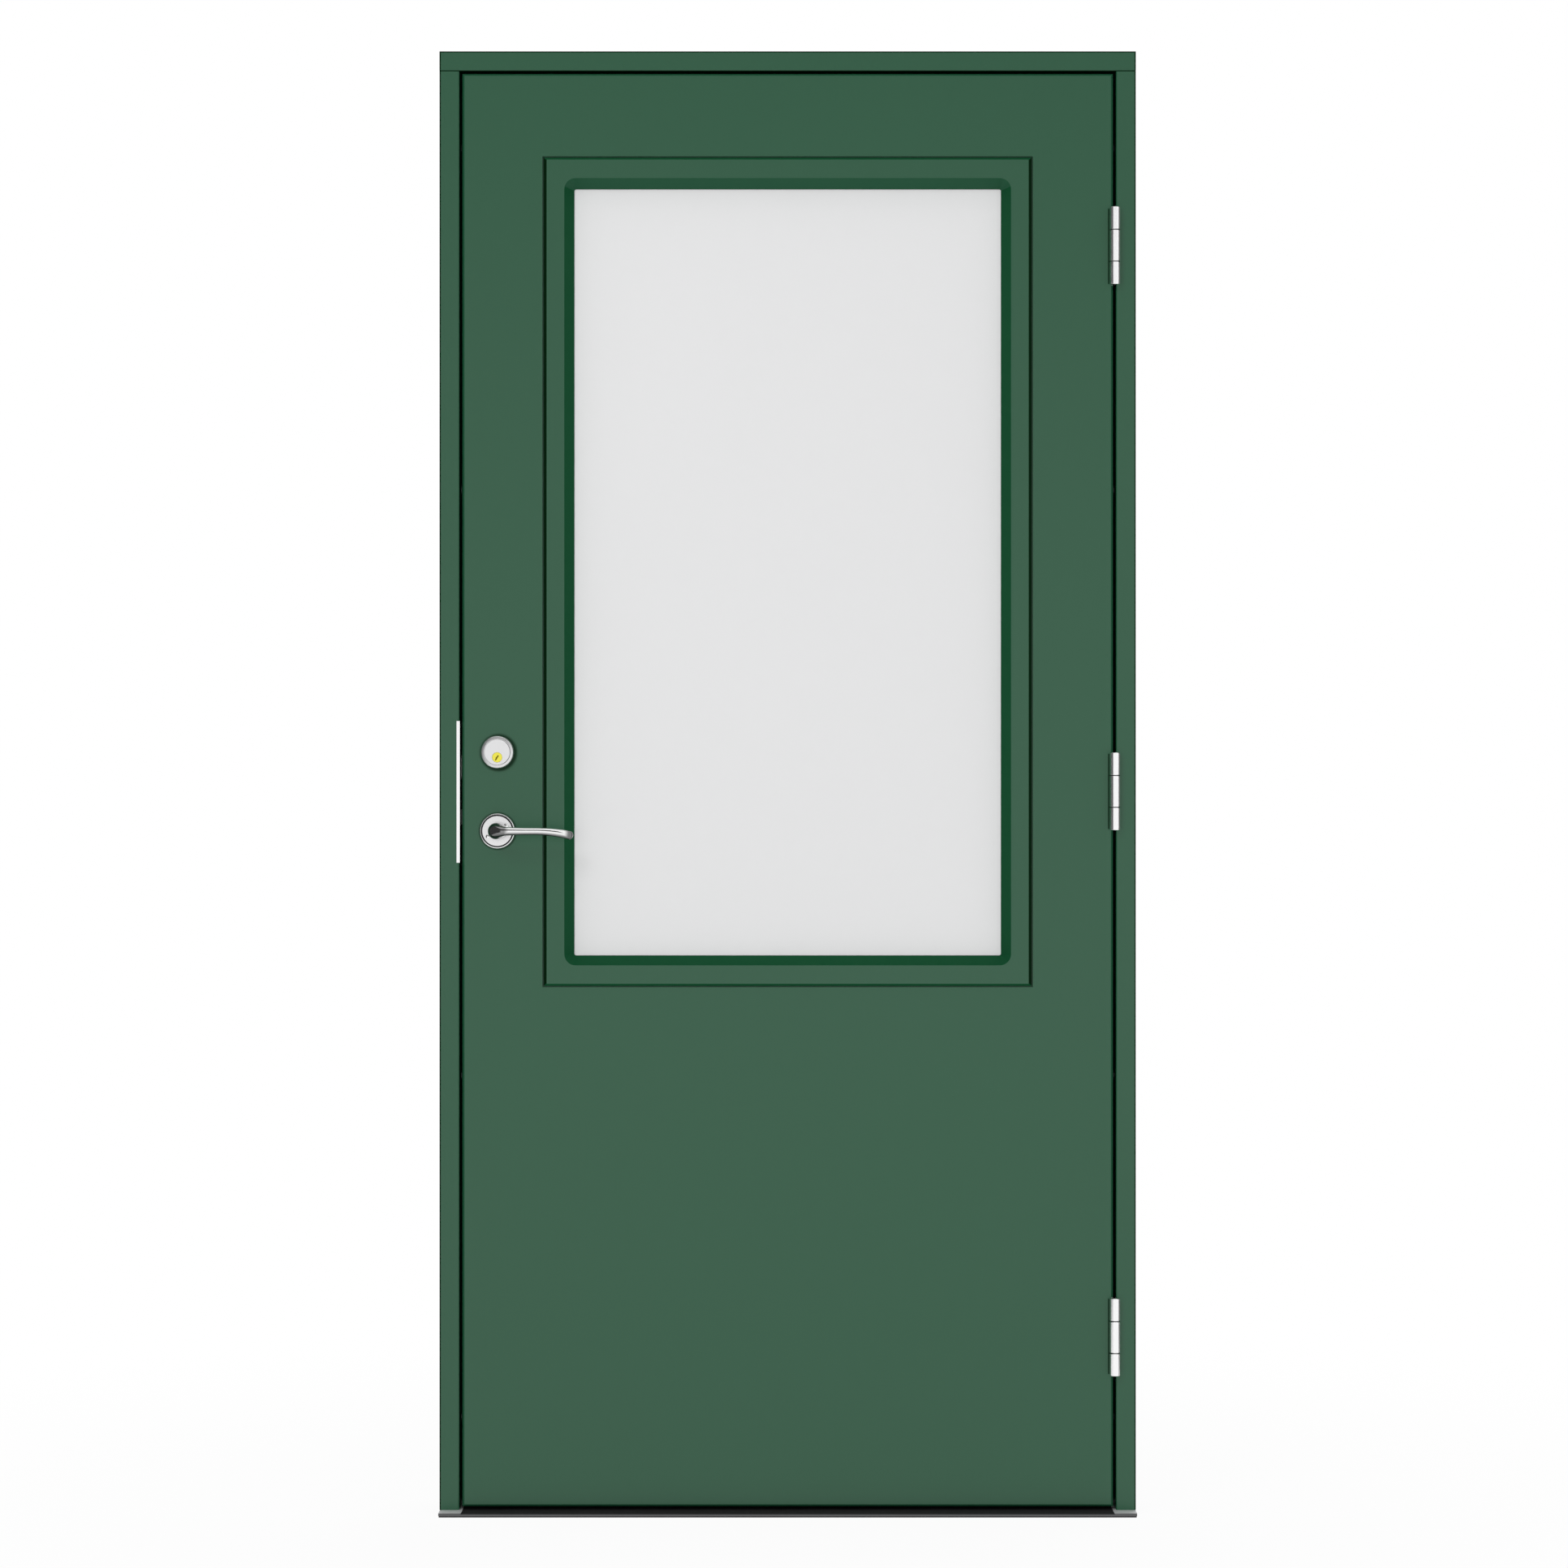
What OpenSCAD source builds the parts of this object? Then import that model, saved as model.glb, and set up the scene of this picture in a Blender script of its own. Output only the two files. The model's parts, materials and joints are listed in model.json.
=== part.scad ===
// Outward opening entrance door with a large frosted light, hung in its own timber frame.
// Millimetres. X runs across the doorway, Y into the house and Z up.
// The origin lies on the underside of the threshold, in the plane of the frame's outer face.

/* [Frame] */
// Overall width of the frame
frame_w = 990; // [930:10:1190]
// Overall height of the frame with its threshold
frame_h = 2080; // [1990:10:2290]
// Depth of the jambs and head
frame_depth = 115; // [108:1:160]
// Width of the jamb and head faces beside the leaf
frame_face = 28; // [26:1:40]
// Step from the rebate in to the stop
stop_step = 14; // [12:1:20]
// Bevel on the long edges of the frame
frame_arris = 1.2; // [0.6:0.1:2]
// Room for the seal between the leaf and the stop
seal_room = 5; // [4:0.5:6]
// Distance from each end of the frame to its first fixing sleeve
sleeve_end = 130; // [100:5:200]
// Spacing of the inner pair of fixing sleeves in a jamb
sleeve_span_inner = 840; // [500:10:1200]
// Bore of a fixing sleeve
sleeve_bore = 11; // [8:0.5:13]
// Outer diameter of a fixing sleeve
sleeve_d = 18; // [16:0.5:22]

/* [Threshold] */
// Thickness of the gasket under the threshold
sill_gasket_t = 1.9; // [1:0.1:4]
// Thickness of the threshold plate
sill_plate_t = 4.1; // [3.5:0.1:8]
// How far the threshold stands out in front of the frame
sill_nose = 28; // [12:1:60]
// Setback of each threshold end from the side of the frame
sill_inset = 0.5; // [0:0.5:6]
// Height of the threshold's stop above its plate
sill_stop_h = 16; // [15:1:24]
// Height of the back edge of the threshold above its plate
sill_back_h = 8; // [6:1:12]
// Depth of the recess for the tread strip
tread_t = 2; // [1:0.1:2.5]

/* [Leaf] */
// Gap between the leaf and each jamb
leaf_gap_side = 4.5; // [4:0.1:6]
// Gap between the leaf and the head
leaf_gap_top = 4; // [3:0.1:6]
// Gap between the leaf and the threshold plate
leaf_gap_bottom = 5; // [3:0.5:6]
// Thickness of the leaf
leaf_t = 60; // [56:1:68]
// Thickness of each painted face
skin_t = 6; // [5:0.5:8]
// Bevel round the edges of each painted face
leaf_arris = 3; // [1:0.1:4]
// Height of the rail under the light
mid_rail_h = 70; // [50:1:120]
// Height of the bottom rail
bottom_rail_h = 120; // [80:1:180]

/* [Light] */
// Width of the leaf beside the cut-out
window_side = 114; // [104:1:170]
// Height of the cut-out in the painted faces
window_h = 1181; // [700:1:1260]
// Distance from the top of the leaf down to the cut-out
window_drop = 117.6; // [100:0.1:180]
// Shadow gap round the glazing frame
shadow_gap = 1.8; // [1:0.1:3]
// How far the glazing frame stands proud of the leaf
bezel_proud = 2.5; // [1:0.1:5]
// Bevel on the outer edge of the glazing frame
bezel_arris = 3; // [1:0.1:5]
// Width of the flat of the glazing frame
bezel_flat = 29.3; // [26:0.1:40]
// Width of the sloping inner edge of the glazing frame
bevel_w = 13.4; // [8:0.1:14]
// Depth of the sloping inner edge of the outer glazing frame
bevel_depth = 20.5; // [18:0.1:22]
// Corner radius at the top of the sloping edge
bevel_r = 16; // [15.6:0.1:24]
// Thickness of each pane
pane_t = 4; // [3:0.5:5]
// Space between the panes
pane_gap = 16; // [12:1:16]
// How far the panes run behind the glazing frame
glass_lap = 13; // [11:0.5:16]
// Clearance round the sealed unit
glass_clear = 5.5; // [4:0.5:7]
// Thickness of each glazing seal
glazing_seal_t = 2; // [1:0.1:3]

/* [Hinges] */
// Length of a hinge
hinge_h = 110; // [100:1:130]
// Diameter of a hinge knuckle
knuckle_d = 15.6; // [13:0.1:18]
// Length of the middle knuckle
mid_knuckle_h = 44; // [30:1:50]
// Space for a washer between two knuckles
washer_space = 1.2; // [0.8:0.1:2]
// Diameter of a hinge pin
pin_d = 7; // [6:0.1:8]
// Thickness of a hinge plate
plate_t = 2.5; // [2:0.1:3]
// Depth of a hinge plate into the rebate
plate_w = 33; // [31:1:38]
// Distance from the top of the leaf to the top hinge's middle
hinge_drop = 245.5; // [180:0.5:300]
// Distance from the bottom of the leaf to the bottom hinge's middle
hinge_rise = 242; // [180:0.5:300]

/* [Lock and handle] */
// Height of the handle spindle
spindle_z = 971.5; // [930:0.5:1000]
// Distance from the lock edge of the leaf to the spindle
backset = 50; // [48:0.5:56]
// Height of the plug above the spindle
plug_pitch = 104.5; // [102:0.5:110]
// Height of the lock's middle above the spindle
forend_rise = 55.5; // [50:0.5:60]
// Length of the lock forend
forend_h = 235; // [230:1:260]
// Width of the lock forend
forend_w = 22; // [20:1:26]
// Thickness of the lock forend
forend_t = 3; // [2.5:0.5:4]
// How far the latch stands out of the forend
latch_out = 11; // [9:0.5:12]
// Length of the strike plate
strike_h = 201.5; // [190:0.5:230]
// Width of the strike plate's front flange
strike_flange = 4.8; // [3:0.1:8]
// How far the strike plate stands out of the jamb
strike_proud = 1; // [0.5:0.1:1.5]
// Thickness of the strike plate
strike_t = 2.5; // [2:0.1:3]
// Diameter of a handle rose
rose_d = 51; // [46:0.5:56]
// Height of a handle rose
rose_h = 8; // [6:0.5:10]
// Distance from the leaf to the middle of the lever arm
lever_out = 50; // [46:0.5:60]
// Reach of the lever from the spindle
lever_reach = 109; // [100:1:135]
// Drop of the lever tip
lever_drop = 7; // [0:0.5:12]
// Return of the lever tip towards the leaf
lever_return = 12; // [0:0.5:16]
// Half height of the lever arm
lever_half_h = 5.8; // [5:0.1:8]
// Narrowing of the lever arm at its middle
lever_waist = 0.6; // [0:0.1:1.5]
// Widening of the lever tip
lever_flare = 0.3; // [0:0.1:1]
// Half thickness of the lever arm
lever_half_t = 5; // [4:0.1:7]
// Diameter of the cylinder ring
ring_d = 46.5; // [44:0.5:52]
// Height of the cylinder ring
ring_h = 9; // [7:0.5:14]
// Height of the ring's middle above the plug
ring_rise = 7.5; // [6:0.1:8]
// Diameter of the plug
plug_d = 14; // [12:0.1:15]
// Diameter of the thumbturn rose
turn_rose_d = 52; // [48:0.5:60]

/* [Hidden] */
$fn = 64;
slack = 0.1;
over = 1;
half_w = frame_w / 2;
open_x = half_w - frame_face;
stop_x = open_x - stop_step;
head_z = frame_h - frame_face;
stop_y = leaf_t + seal_room;
sill_top = sill_gasket_t + sill_plate_t;
sill_stop_top = sill_top + sill_stop_h;
sill_stop_land = 20;
sill_wall = 2.5;
leaf_hw = open_x - leaf_gap_side;
leaf_top = head_z - leaf_gap_top;
leaf_bot = sill_top + leaf_gap_bottom;
groove_w = 3;
groove_d = 7;
seal_r = 5;
seal_wall = 1.2;
seal_free = 0.4;
seal_x = (open_x + stop_x) / 2;
seal_head_z = head_z - stop_step / 2;
seal_sill_z = leaf_bot + seal_r + 0.5;

cut_hw = leaf_hw - window_side;
cut_z1 = leaf_top - window_drop;
cut_z0 = cut_z1 - window_h;
light_mid_z = (cut_z0 + cut_z1) / 2;
bez_hw = cut_hw - shadow_gap;
bez_hh = window_h / 2 - shadow_gap;
bev_hw = bez_hw - bezel_flat;
bev_hh = bez_hh - bezel_flat;
sight_hw = bev_hw - bevel_w;
sight_hh = bev_hh - bevel_w;
glass_hw = sight_hw + glass_lap;
glass_hh = sight_hh + glass_lap;
hole_hw = glass_hw + glass_clear;
hole_hh = glass_hh + glass_clear;
leg_lap = glass_lap + 1.5;
leg_y = bevel_depth - bezel_proud;
pane_y = leg_y + glazing_seal_t;
cavity_y = pane_y + pane_t;
inner_pane_y = cavity_y + pane_gap;
inner_leg_y = inner_pane_y + pane_t + glazing_seal_t;
inner_bevel_depth = leaf_t + bezel_proud - inner_leg_y;
spacer_lap = 1.5;
spacer_w = 6.5;
setting_block_hl = 40;
glazing_screw_len = 34;
glazing_screw_d = 4;
glazing_screw_head_d = 7.4;
rail_x = hole_hw;
mid_rail_top = light_mid_z - hole_hh;
bottom_rail_top = leaf_bot + bottom_rail_h;

hinge_x = open_x - leaf_gap_side / 2;
hinge_y = -knuckle_d / 2;
hinge_top_z = leaf_top - hinge_drop;
hinge_bottom_z = leaf_bot + hinge_rise;
hinge_mid_z = (hinge_top_z + hinge_bottom_z) / 2;
hinge_zs = [hinge_bottom_z, hinge_mid_z, hinge_top_z];
end_knuckle_h = (hinge_h - mid_knuckle_h) / 2 - washer_space;
pin_fit = 0.05;
plate_clear = 0.6;
screw_d = 4.4;
screw_head_d = 8.6;
frame_screw_len = 24;
leaf_screw_len = 40;
strike_screw_len = 20;
strike_screw_end = 10;
hinge_screw_spots = [[12, 0.38], [24, 0.16], [24, -0.16], [12, -0.38]];

lock_y = leaf_t / 2;
lock_edge = -leaf_hw;
spindle_x = lock_edge + backset;
forend_z = spindle_z + forend_rise;
plug_z = spindle_z + plug_pitch;
ring_z = plug_z + ring_rise;
case_t = 15;
case_wall = 1.5;
case_past = 32.5;
case_below = 31;
case_above = 33;
case_back = spindle_x + case_past;
case_z0 = spindle_z - case_below;
case_z1 = plug_z + case_above;
latch_rise = 19;
latch_z = spindle_z + latch_rise;
latch_w = 12;
latch_h = 20;
latch_root = lock_edge + 7.5;
latch_bevel = 9;
bolt_w = 10;
bolt_h = 30;
bolt_fall = 14;
bolt_z = plug_z - bolt_fall;
bolt_throw = 20;
bolt_root = lock_edge + 24.5;
bolt_tail_top = plug_z - 8;
cam_r = bolt_throw / 2 * sqrt(2);
cam_pin_d = 4;
cam_slot = cam_pin_d + 1.5;
cam_hub_d = 14;
drive_bar = 5.6;
follower_d = 18;
follower_arm = 17;
follower_half = 2.5;
follower_lean = 35;
hook_gap = 1;
hook_w = 5;
hook_drop = 7;
hook_rise = latch_rise - hook_drop;
hook_x = spindle_x + (follower_half - hook_rise * sin(follower_lean)) / cos(follower_lean) + hook_gap;
spindle_s = 8;
spindle_in = 38;
journal_d = 16;
rose_bolt_r = 15.2;
rose_bolt_turn = 31.4;
rose_bolt_d = 4;
rose_bolt_head_d = 6.2;
body_d = ring_d - 10.1;
barrel_d = 32;
cylinder_screw_spots = [[-12, 4], [12, 4]];
cylinder_screw_d = 4.6;
forend_screw_len = 32;
forend_screw_head_d = 8;
forend_screw_end = 9;
strike_w = lock_y + 15;
strike_lip = 0.6;
strike_z = forend_z;
latch_slot_y0 = lock_y - latch_w / 2 - 1;
latch_slot_y1 = lock_y + latch_w / 2 + 2;
bolt_slot_y0 = lock_y - bolt_w / 2 - 1;
bolt_slot_y1 = lock_y + bolt_w / 2 + 1;
pocket_latch_x = lock_edge - latch_out - 5;
pocket_bolt_x = lock_edge - bolt_throw - 3.5;
sleeve_y = stop_y - 17;
corner_x = half_w - frame_face / 2;
corner_ys = [20, stop_y + 15];
corner_screw_d = 5;
corner_screw_head_d = 9.6;
head_screw_len = 80;
sill_screw_len = 70;
neck_r = 11.6;
collar_d = 2 * neck_r + 0.2;
lever_bend = 17;
lever_nose = 5;
lever_sides = 28;
lever_steps = 44;
neck_v = rose_h + 0.6;
bend_v = lever_out - lever_bend;
neck_len = bend_v - neck_v;
bend_len = lever_bend * PI / 2;
arm_len = lever_reach - lever_bend;
lever_len = neck_len + bend_len + arm_len;

paint = "#416250";
steel = "#c9cac8";
zinc = "#a9aaac";
rubber = "#1c1c1d";
timber = "#c9a878";
alu = "#9a9b9d";
brass = "#c8a24c";
glass = "#e4e4e6";
foam = "#efe9d6";

// A box between two corners
module block(lo, hi) {
  translate(lo) cube(hi - lo);
}

// Sections pushed along each axis
module along_x(x0, x1) {
  translate([x0, 0, 0]) rotate([90, 0, 90]) linear_extrude(x1 - x0) children();
}

module along_y(y0, y1) {
  translate([0, y1, 0]) rotate([90, 0, 0]) linear_extrude(y1 - y0) children();
}

module along_z(z0, z1) {
  translate([0, 0, z0]) linear_extrude(z1 - z0) children();
}

// Round bars along Y and X
module rod_y(x, z, y0, y1, d) {
  translate([x, y0, z]) rotate([-90, 0, 0]) cylinder(h = y1 - y0, d = d);
}

module rod_x(x0, x1, y, z, d) {
  translate([x0, y, z]) rotate([0, 90, 0]) cylinder(h = x1 - x0, d = d);
}

// Turned section standing out of the leaf's outer face, height towards the street
module turned_out(x, z) {
  translate([x, 0, z]) rotate([90, 0, 0]) rotate_extrude() children();
}

// The same piece on the house side of the leaf
module house_side() {
  translate([0, leaf_t, 0]) mirror([0, 1, 0]) children();
}

// Rectangular ring round the light
module light_ring(hw, hh, in_hw, in_hh, y0, y1) {
  translate([0, 0, light_mid_z]) difference() {
    block([-hw, y0, -hh], [hw, y1, hh]);
    block([-in_hw, y0 - over, -in_hh], [in_hw, y1 + over, in_hh]);
  }
}

// Countersunk screw pointing up from its head face, with a cross recess
module screw(len, d, head_d, fit = 0) {
  r = d / 2 + fit;
  hr = head_d / 2 + fit;
  difference() {
    rotate_extrude() polygon([[0, 0], [hr, 0], [r, hr - r], [r, len - d / 2 + fit], [0, len + 2 * fit]]);
    if (fit == 0) {
      block([-d * 0.6, -0.5, -over], [d * 0.6, 0.5, d * 0.4]);
      block([-0.5, -d * 0.6, -over], [0.5, d * 0.6, d * 0.4]);
    }
  }
}

// Outline of a jamb on the hinge side, seen from above
module jamb_section() {
  a = frame_arris;
  polygon([
    [half_w, a], [half_w, frame_depth - a], [half_w - a, frame_depth],
    [stop_x + a, frame_depth], [stop_x, frame_depth - a], [stop_x, stop_y + a],
    [stop_x + a, stop_y], [open_x, stop_y], [open_x, a], [open_x + a, 0], [half_w - a, 0]
  ]);
}

// Outline of the threshold, seen from its end
module sill_section() {
  polygon([
    [-sill_nose, sill_gasket_t], [-sill_nose, sill_top - 0.6], [-sill_nose + 0.6, sill_top],
    [stop_y, sill_top], [stop_y, sill_stop_top], [stop_y + sill_stop_land, sill_stop_top],
    [frame_depth, sill_top + sill_back_h], [frame_depth, sill_gasket_t]
  ]);
}

// Chamber inside the threshold's stop
module sill_chamber() {
  y0 = stop_y + groove_d + sill_wall;
  y1 = frame_depth - sill_wall;
  polygon([
    [y0, sill_gasket_t + sill_wall], [y0, sill_stop_top - sill_wall],
    [stop_y + sill_stop_land - 0.5, sill_stop_top - sill_wall],
    [y1, sill_top + sill_back_h - sill_wall], [y1, sill_gasket_t + sill_wall]
  ]);
}

// Hollow bulb of a weather seal with the foot that sits in the groove
module bulb_section() {
  rise = seal_room - seal_free;
  difference() {
    translate([0, rise - seal_r]) circle(seal_r);
    translate([-2 * seal_r, -4 * seal_r]) square([4 * seal_r, 4 * seal_r]);
    intersection() {
      translate([0, rise - seal_r]) circle(seal_r - seal_wall);
      translate([-2 * seal_r, seal_wall]) square([4 * seal_r, 4 * seal_r]);
    }
  }
  translate([-groove_w / 2 + slack, -groove_d + over]) square([groove_w - 2 * slack, groove_d - over]);
}

module corner_screws(fit) {
  for (s = [-1, 1], y = corner_ys) {
    translate([s * corner_x, y, frame_h]) rotate([180, 0, 0])
      screw(head_screw_len, corner_screw_d, corner_screw_head_d, fit);
    translate([s * corner_x, y, sill_gasket_t])
      screw(sill_screw_len, corner_screw_d, corner_screw_head_d, fit);
  }
}

module sleeve_spots(s) {
  for (z = [sleeve_end, frame_h / 2 - sleeve_span_inner / 2, frame_h / 2 + sleeve_span_inner / 2,
            frame_h - sleeve_end]) {
    translate([s * half_w, sleeve_y, z]) rotate([0, -90 * s, 0]) children();
  }
}

// Timber frame
module frame_head() {
  a = frame_arris;
  color(paint) difference() {
    union() {
      along_x(-half_w, half_w) polygon([
        [a, frame_h], [frame_depth - a, frame_h], [frame_depth, frame_h - a],
        [frame_depth, head_z], [a, head_z], [0, head_z + a], [0, frame_h - a]
      ]);
      along_x(-stop_x, stop_x) polygon([
        [stop_y, head_z + a], [frame_depth, head_z + a],
        [frame_depth, head_z - stop_step + a], [frame_depth - a, head_z - stop_step],
        [stop_y + a, head_z - stop_step], [stop_y, head_z - stop_step + a]
      ]);
    }
    block([-stop_x - over, stop_y - over, seal_head_z - groove_w / 2],
          [stop_x + over, stop_y + groove_d, seal_head_z + groove_w / 2]);
    corner_screws(slack);
  }
}

module jamb() {
  difference() {
    along_z(sill_top, head_z) jamb_section();
    along_x(stop_x - over, half_w + over) sill_section();
    block([seal_x - groove_w / 2, stop_y - over, sill_top - over],
          [seal_x + groove_w / 2, stop_y + groove_d, seal_head_z + groove_w / 2]);
    block([stop_x - over, stop_y - over, seal_head_z - groove_w / 2],
          [seal_x, stop_y + groove_d, seal_head_z + groove_w / 2]);
    corner_screws(slack);
    sleeve_spots(1) translate([0, 0, -over]) cylinder(h = frame_face + 2 * over, d = sleeve_d + slack);
  }
}

module hinge_jamb() {
  color(paint) difference() {
    jamb();
    for (z = hinge_zs) {
      block([open_x - over, -over, z - hinge_h / 2], [open_x + plate_t, plate_w, z + hinge_h / 2]);
    }
    frame_hinge_screws(slack);
  }
}

module lock_jamb() {
  color(paint) difference() {
    mirror([1, 0, 0]) jamb();
    strike_body();
    block([pocket_latch_x, latch_slot_y0, latch_z - latch_h / 2 - 1],
          [-open_x + over, latch_slot_y1, latch_z + latch_h / 2 + 1]);
    block([pocket_bolt_x, bolt_slot_y0, bolt_z - bolt_h / 2 - 1],
          [-open_x + over, bolt_slot_y1, bolt_z + bolt_h / 2 + 1]);
    strike_screws(slack);
  }
}

module frame_sleeves() {
  color(zinc) for (s = [-1, 1]) {
    sleeve_spots(s) difference() {
      cylinder(h = frame_face - 0.5, d = sleeve_d);
      translate([0, 0, -over]) cylinder(h = frame_face + 2 * over, d = sleeve_bore);
      translate([0, 0, frame_face - 7]) cylinder(h = 8, d = sleeve_bore + 3, $fn = 6);
    }
  }
}

module frame_corner_screws() {
  color(zinc) corner_screws(0);
}

// Threshold
module threshold() {
  color(alu) difference() {
    along_x(-half_w + sill_inset, half_w - sill_inset) difference() {
      sill_section();
      sill_chamber();
    }
    block([-leaf_hw, -sill_nose + 1.2, sill_top - tread_t], [leaf_hw, tread_back(), sill_top + over]);
    block([-half_w, stop_y - over, seal_sill_z - groove_w / 2],
          [half_w, stop_y + groove_d, seal_sill_z + groove_w / 2]);
    corner_screws(slack);
  }
}

function tread_back() = leaf_t * 0.6;

module threshold_tread() {
  rib = 4.4;
  y0 = -sill_nose + 1.2;
  color(rubber) difference() {
    block([-leaf_hw, y0, sill_top - tread_t], [leaf_hw, tread_back(), sill_top]);
    for (y = [y0 + 2.2 : rib : tread_back() - 2]) {
      block([-leaf_hw - over, y, sill_top - tread_t * 0.4], [leaf_hw + over, y + 1.4, sill_top + over]);
    }
  }
}

module sill_gasket() {
  color(rubber) block([-half_w + sill_inset + 0.5, -sill_nose + 0.8, 0],
                      [half_w - sill_inset - 0.5, frame_depth - 2, sill_gasket_t]);
}

// Weather seals
module seal_run(len) {
  linear_extrude(len) mirror([0, 1, 0]) bulb_section();
}

module frame_seal() {
  far = 4 * seal_r;
  z0 = sill_stop_top + 0.5;
  color(rubber) {
    for (s = [0, 1]) mirror([s, 0, 0]) difference() {
      translate([seal_x, stop_y, z0]) seal_run(seal_head_z - z0 + far);
      translate([seal_x, stop_y, seal_head_z]) rotate([0, -45, 0])
        translate([-10 * far, -far, 0]) cube([20 * far, 2 * far, 10 * far]);
    }
    difference() {
      translate([-seal_x - far, stop_y, seal_head_z]) rotate([0, 90, 0]) seal_run(2 * (seal_x + far));
      for (s = [0, 1]) mirror([s, 0, 0])
        translate([seal_x, stop_y, seal_head_z]) rotate([0, -45, 0])
          translate([-10 * far, -far, -10 * far]) cube([20 * far, 2 * far, 10 * far]);
    }
  }
}

module threshold_seal() {
  color(rubber) translate([-open_x + 0.5, stop_y, seal_sill_z]) rotate([0, 90, 0]) seal_run(2 * open_x - 1);
}

// Strike plate on the lock jamb
module strike_body() {
  x1 = -open_x + strike_proud;
  z0 = strike_z - strike_h / 2;
  z1 = strike_z + strike_h / 2;
  block([x1 - strike_t, -strike_lip, z0], [x1, strike_w, z1]);
  block([x1 - strike_flange, -strike_lip, z0], [x1, 2, z1]);
}

module strike_screws(fit) {
  x1 = -open_x + strike_proud;
  end = strike_h / 2 - strike_screw_end;
  for (z = [strike_z - end, latch_z + latch_h / 2 + 12, bolt_z - bolt_h / 2 - 10, strike_z + end]) {
    translate([x1, lock_y, z]) rotate([0, -90, 0]) screw(strike_screw_len, screw_d, screw_head_d, fit);
  }
}

module strike_plate() {
  color(steel) difference() {
    strike_body();
    block([-half_w, latch_slot_y0, latch_z - latch_h / 2 - 1],
          [-open_x + 2 * over, latch_slot_y1, latch_z + latch_h / 2 + 1]);
    block([-half_w, bolt_slot_y0, bolt_z - bolt_h / 2 - 1],
          [-open_x + 2 * over, bolt_slot_y1, bolt_z + bolt_h / 2 + 1]);
    strike_screws(slack);
  }
}

// Butt hinges: two knuckles on the frame plate, one on the leaf plate
module hinge_plate_outline(x0, x1) {
  c = 3;
  along_x(x0, x1) polygon([
    [plate_clear, -hinge_h / 2], [plate_w - c, -hinge_h / 2], [plate_w, -hinge_h / 2 + c],
    [plate_w, hinge_h / 2 - c], [plate_w - c, hinge_h / 2], [plate_clear, hinge_h / 2]
  ]);
}

module knuckle(z0, z1) {
  c = 0.5;
  r = knuckle_d / 2;
  rotate_extrude() polygon([[0, z0], [r - c, z0], [r, z0 + c], [r, z1 - c], [r - c, z1], [0, z1]]);
}

module frame_hinge_screws(fit) {
  for (z = hinge_zs, p = hinge_screw_spots) {
    translate([open_x, p[0], z + p[1] * hinge_h]) rotate([0, 90, 0])
      screw(frame_screw_len, screw_d, screw_head_d, fit);
  }
}

module leaf_hinge_screws(fit) {
  for (z = hinge_zs, p = hinge_screw_spots) {
    translate([leaf_hw, p[0], z + p[1] * hinge_h]) rotate([0, -90, 0])
      screw(leaf_screw_len, screw_d, screw_head_d, fit);
  }
}

module frame_plate(z) {
  color(steel) difference() {
    translate([0, 0, z]) union() {
      hinge_plate_outline(open_x, open_x + plate_t);
      for (s = [0, 1]) mirror([0, 0, s]) {
        block([open_x, hinge_y, hinge_h / 2 - end_knuckle_h], [open_x + plate_t, plate_clear, hinge_h / 2]);
        translate([hinge_x, hinge_y, 0]) knuckle(hinge_h / 2 - end_knuckle_h, hinge_h / 2);
      }
    }
    translate([hinge_x, hinge_y, z - hinge_h]) cylinder(h = 2 * hinge_h, d = pin_d + 2 * pin_fit);
    frame_hinge_screws(slack);
  }
}

module leaf_plate(z) {
  color(steel) difference() {
    translate([0, 0, z]) union() {
      hinge_plate_outline(leaf_hw - plate_t, leaf_hw);
      block([leaf_hw - plate_t, hinge_y, -mid_knuckle_h / 2], [leaf_hw, plate_clear, mid_knuckle_h / 2]);
      translate([hinge_x, hinge_y, 0]) knuckle(-mid_knuckle_h / 2, mid_knuckle_h / 2);
    }
    translate([hinge_x, hinge_y, z - hinge_h]) cylinder(h = 2 * hinge_h, d = pin_d + 2 * pin_fit);
    leaf_hinge_screws(slack);
  }
}

module top_hinge_frame_plate() {
  frame_plate(hinge_top_z);
}

module middle_hinge_frame_plate() {
  frame_plate(hinge_mid_z);
}

module bottom_hinge_frame_plate() {
  frame_plate(hinge_bottom_z);
}

module top_hinge_leaf_plate() {
  leaf_plate(hinge_top_z);
}

module middle_hinge_leaf_plate() {
  leaf_plate(hinge_mid_z);
}

module bottom_hinge_leaf_plate() {
  leaf_plate(hinge_bottom_z);
}

module hinge_pins() {
  color(steel) for (z = hinge_zs) {
    translate([hinge_x, hinge_y, z - hinge_h / 2]) cylinder(h = hinge_h, d = pin_d);
  }
}

module hinge_washers() {
  t = washer_space - 0.2;
  color(zinc) for (z = hinge_zs, s = [-1, 1]) {
    translate([hinge_x, hinge_y, z + s * (mid_knuckle_h + washer_space) / 2 - t / 2]) difference() {
      cylinder(h = t, d = knuckle_d - 1);
      translate([0, 0, -over]) cylinder(h = t + 2 * over, d = pin_d + 2 * pin_fit);
    }
  }
}

module frame_plate_screws() {
  color(zinc) {
    frame_hinge_screws(0);
    strike_screws(0);
  }
}

module leaf_plate_screws() {
  color(zinc) leaf_hinge_screws(0);
}

module leaf_plate_recesses() {
  for (z = hinge_zs) {
    block([leaf_hw - plate_t, -over, z - hinge_h / 2], [leaf_hw + over, plate_w, z + hinge_h / 2]);
  }
}

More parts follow.
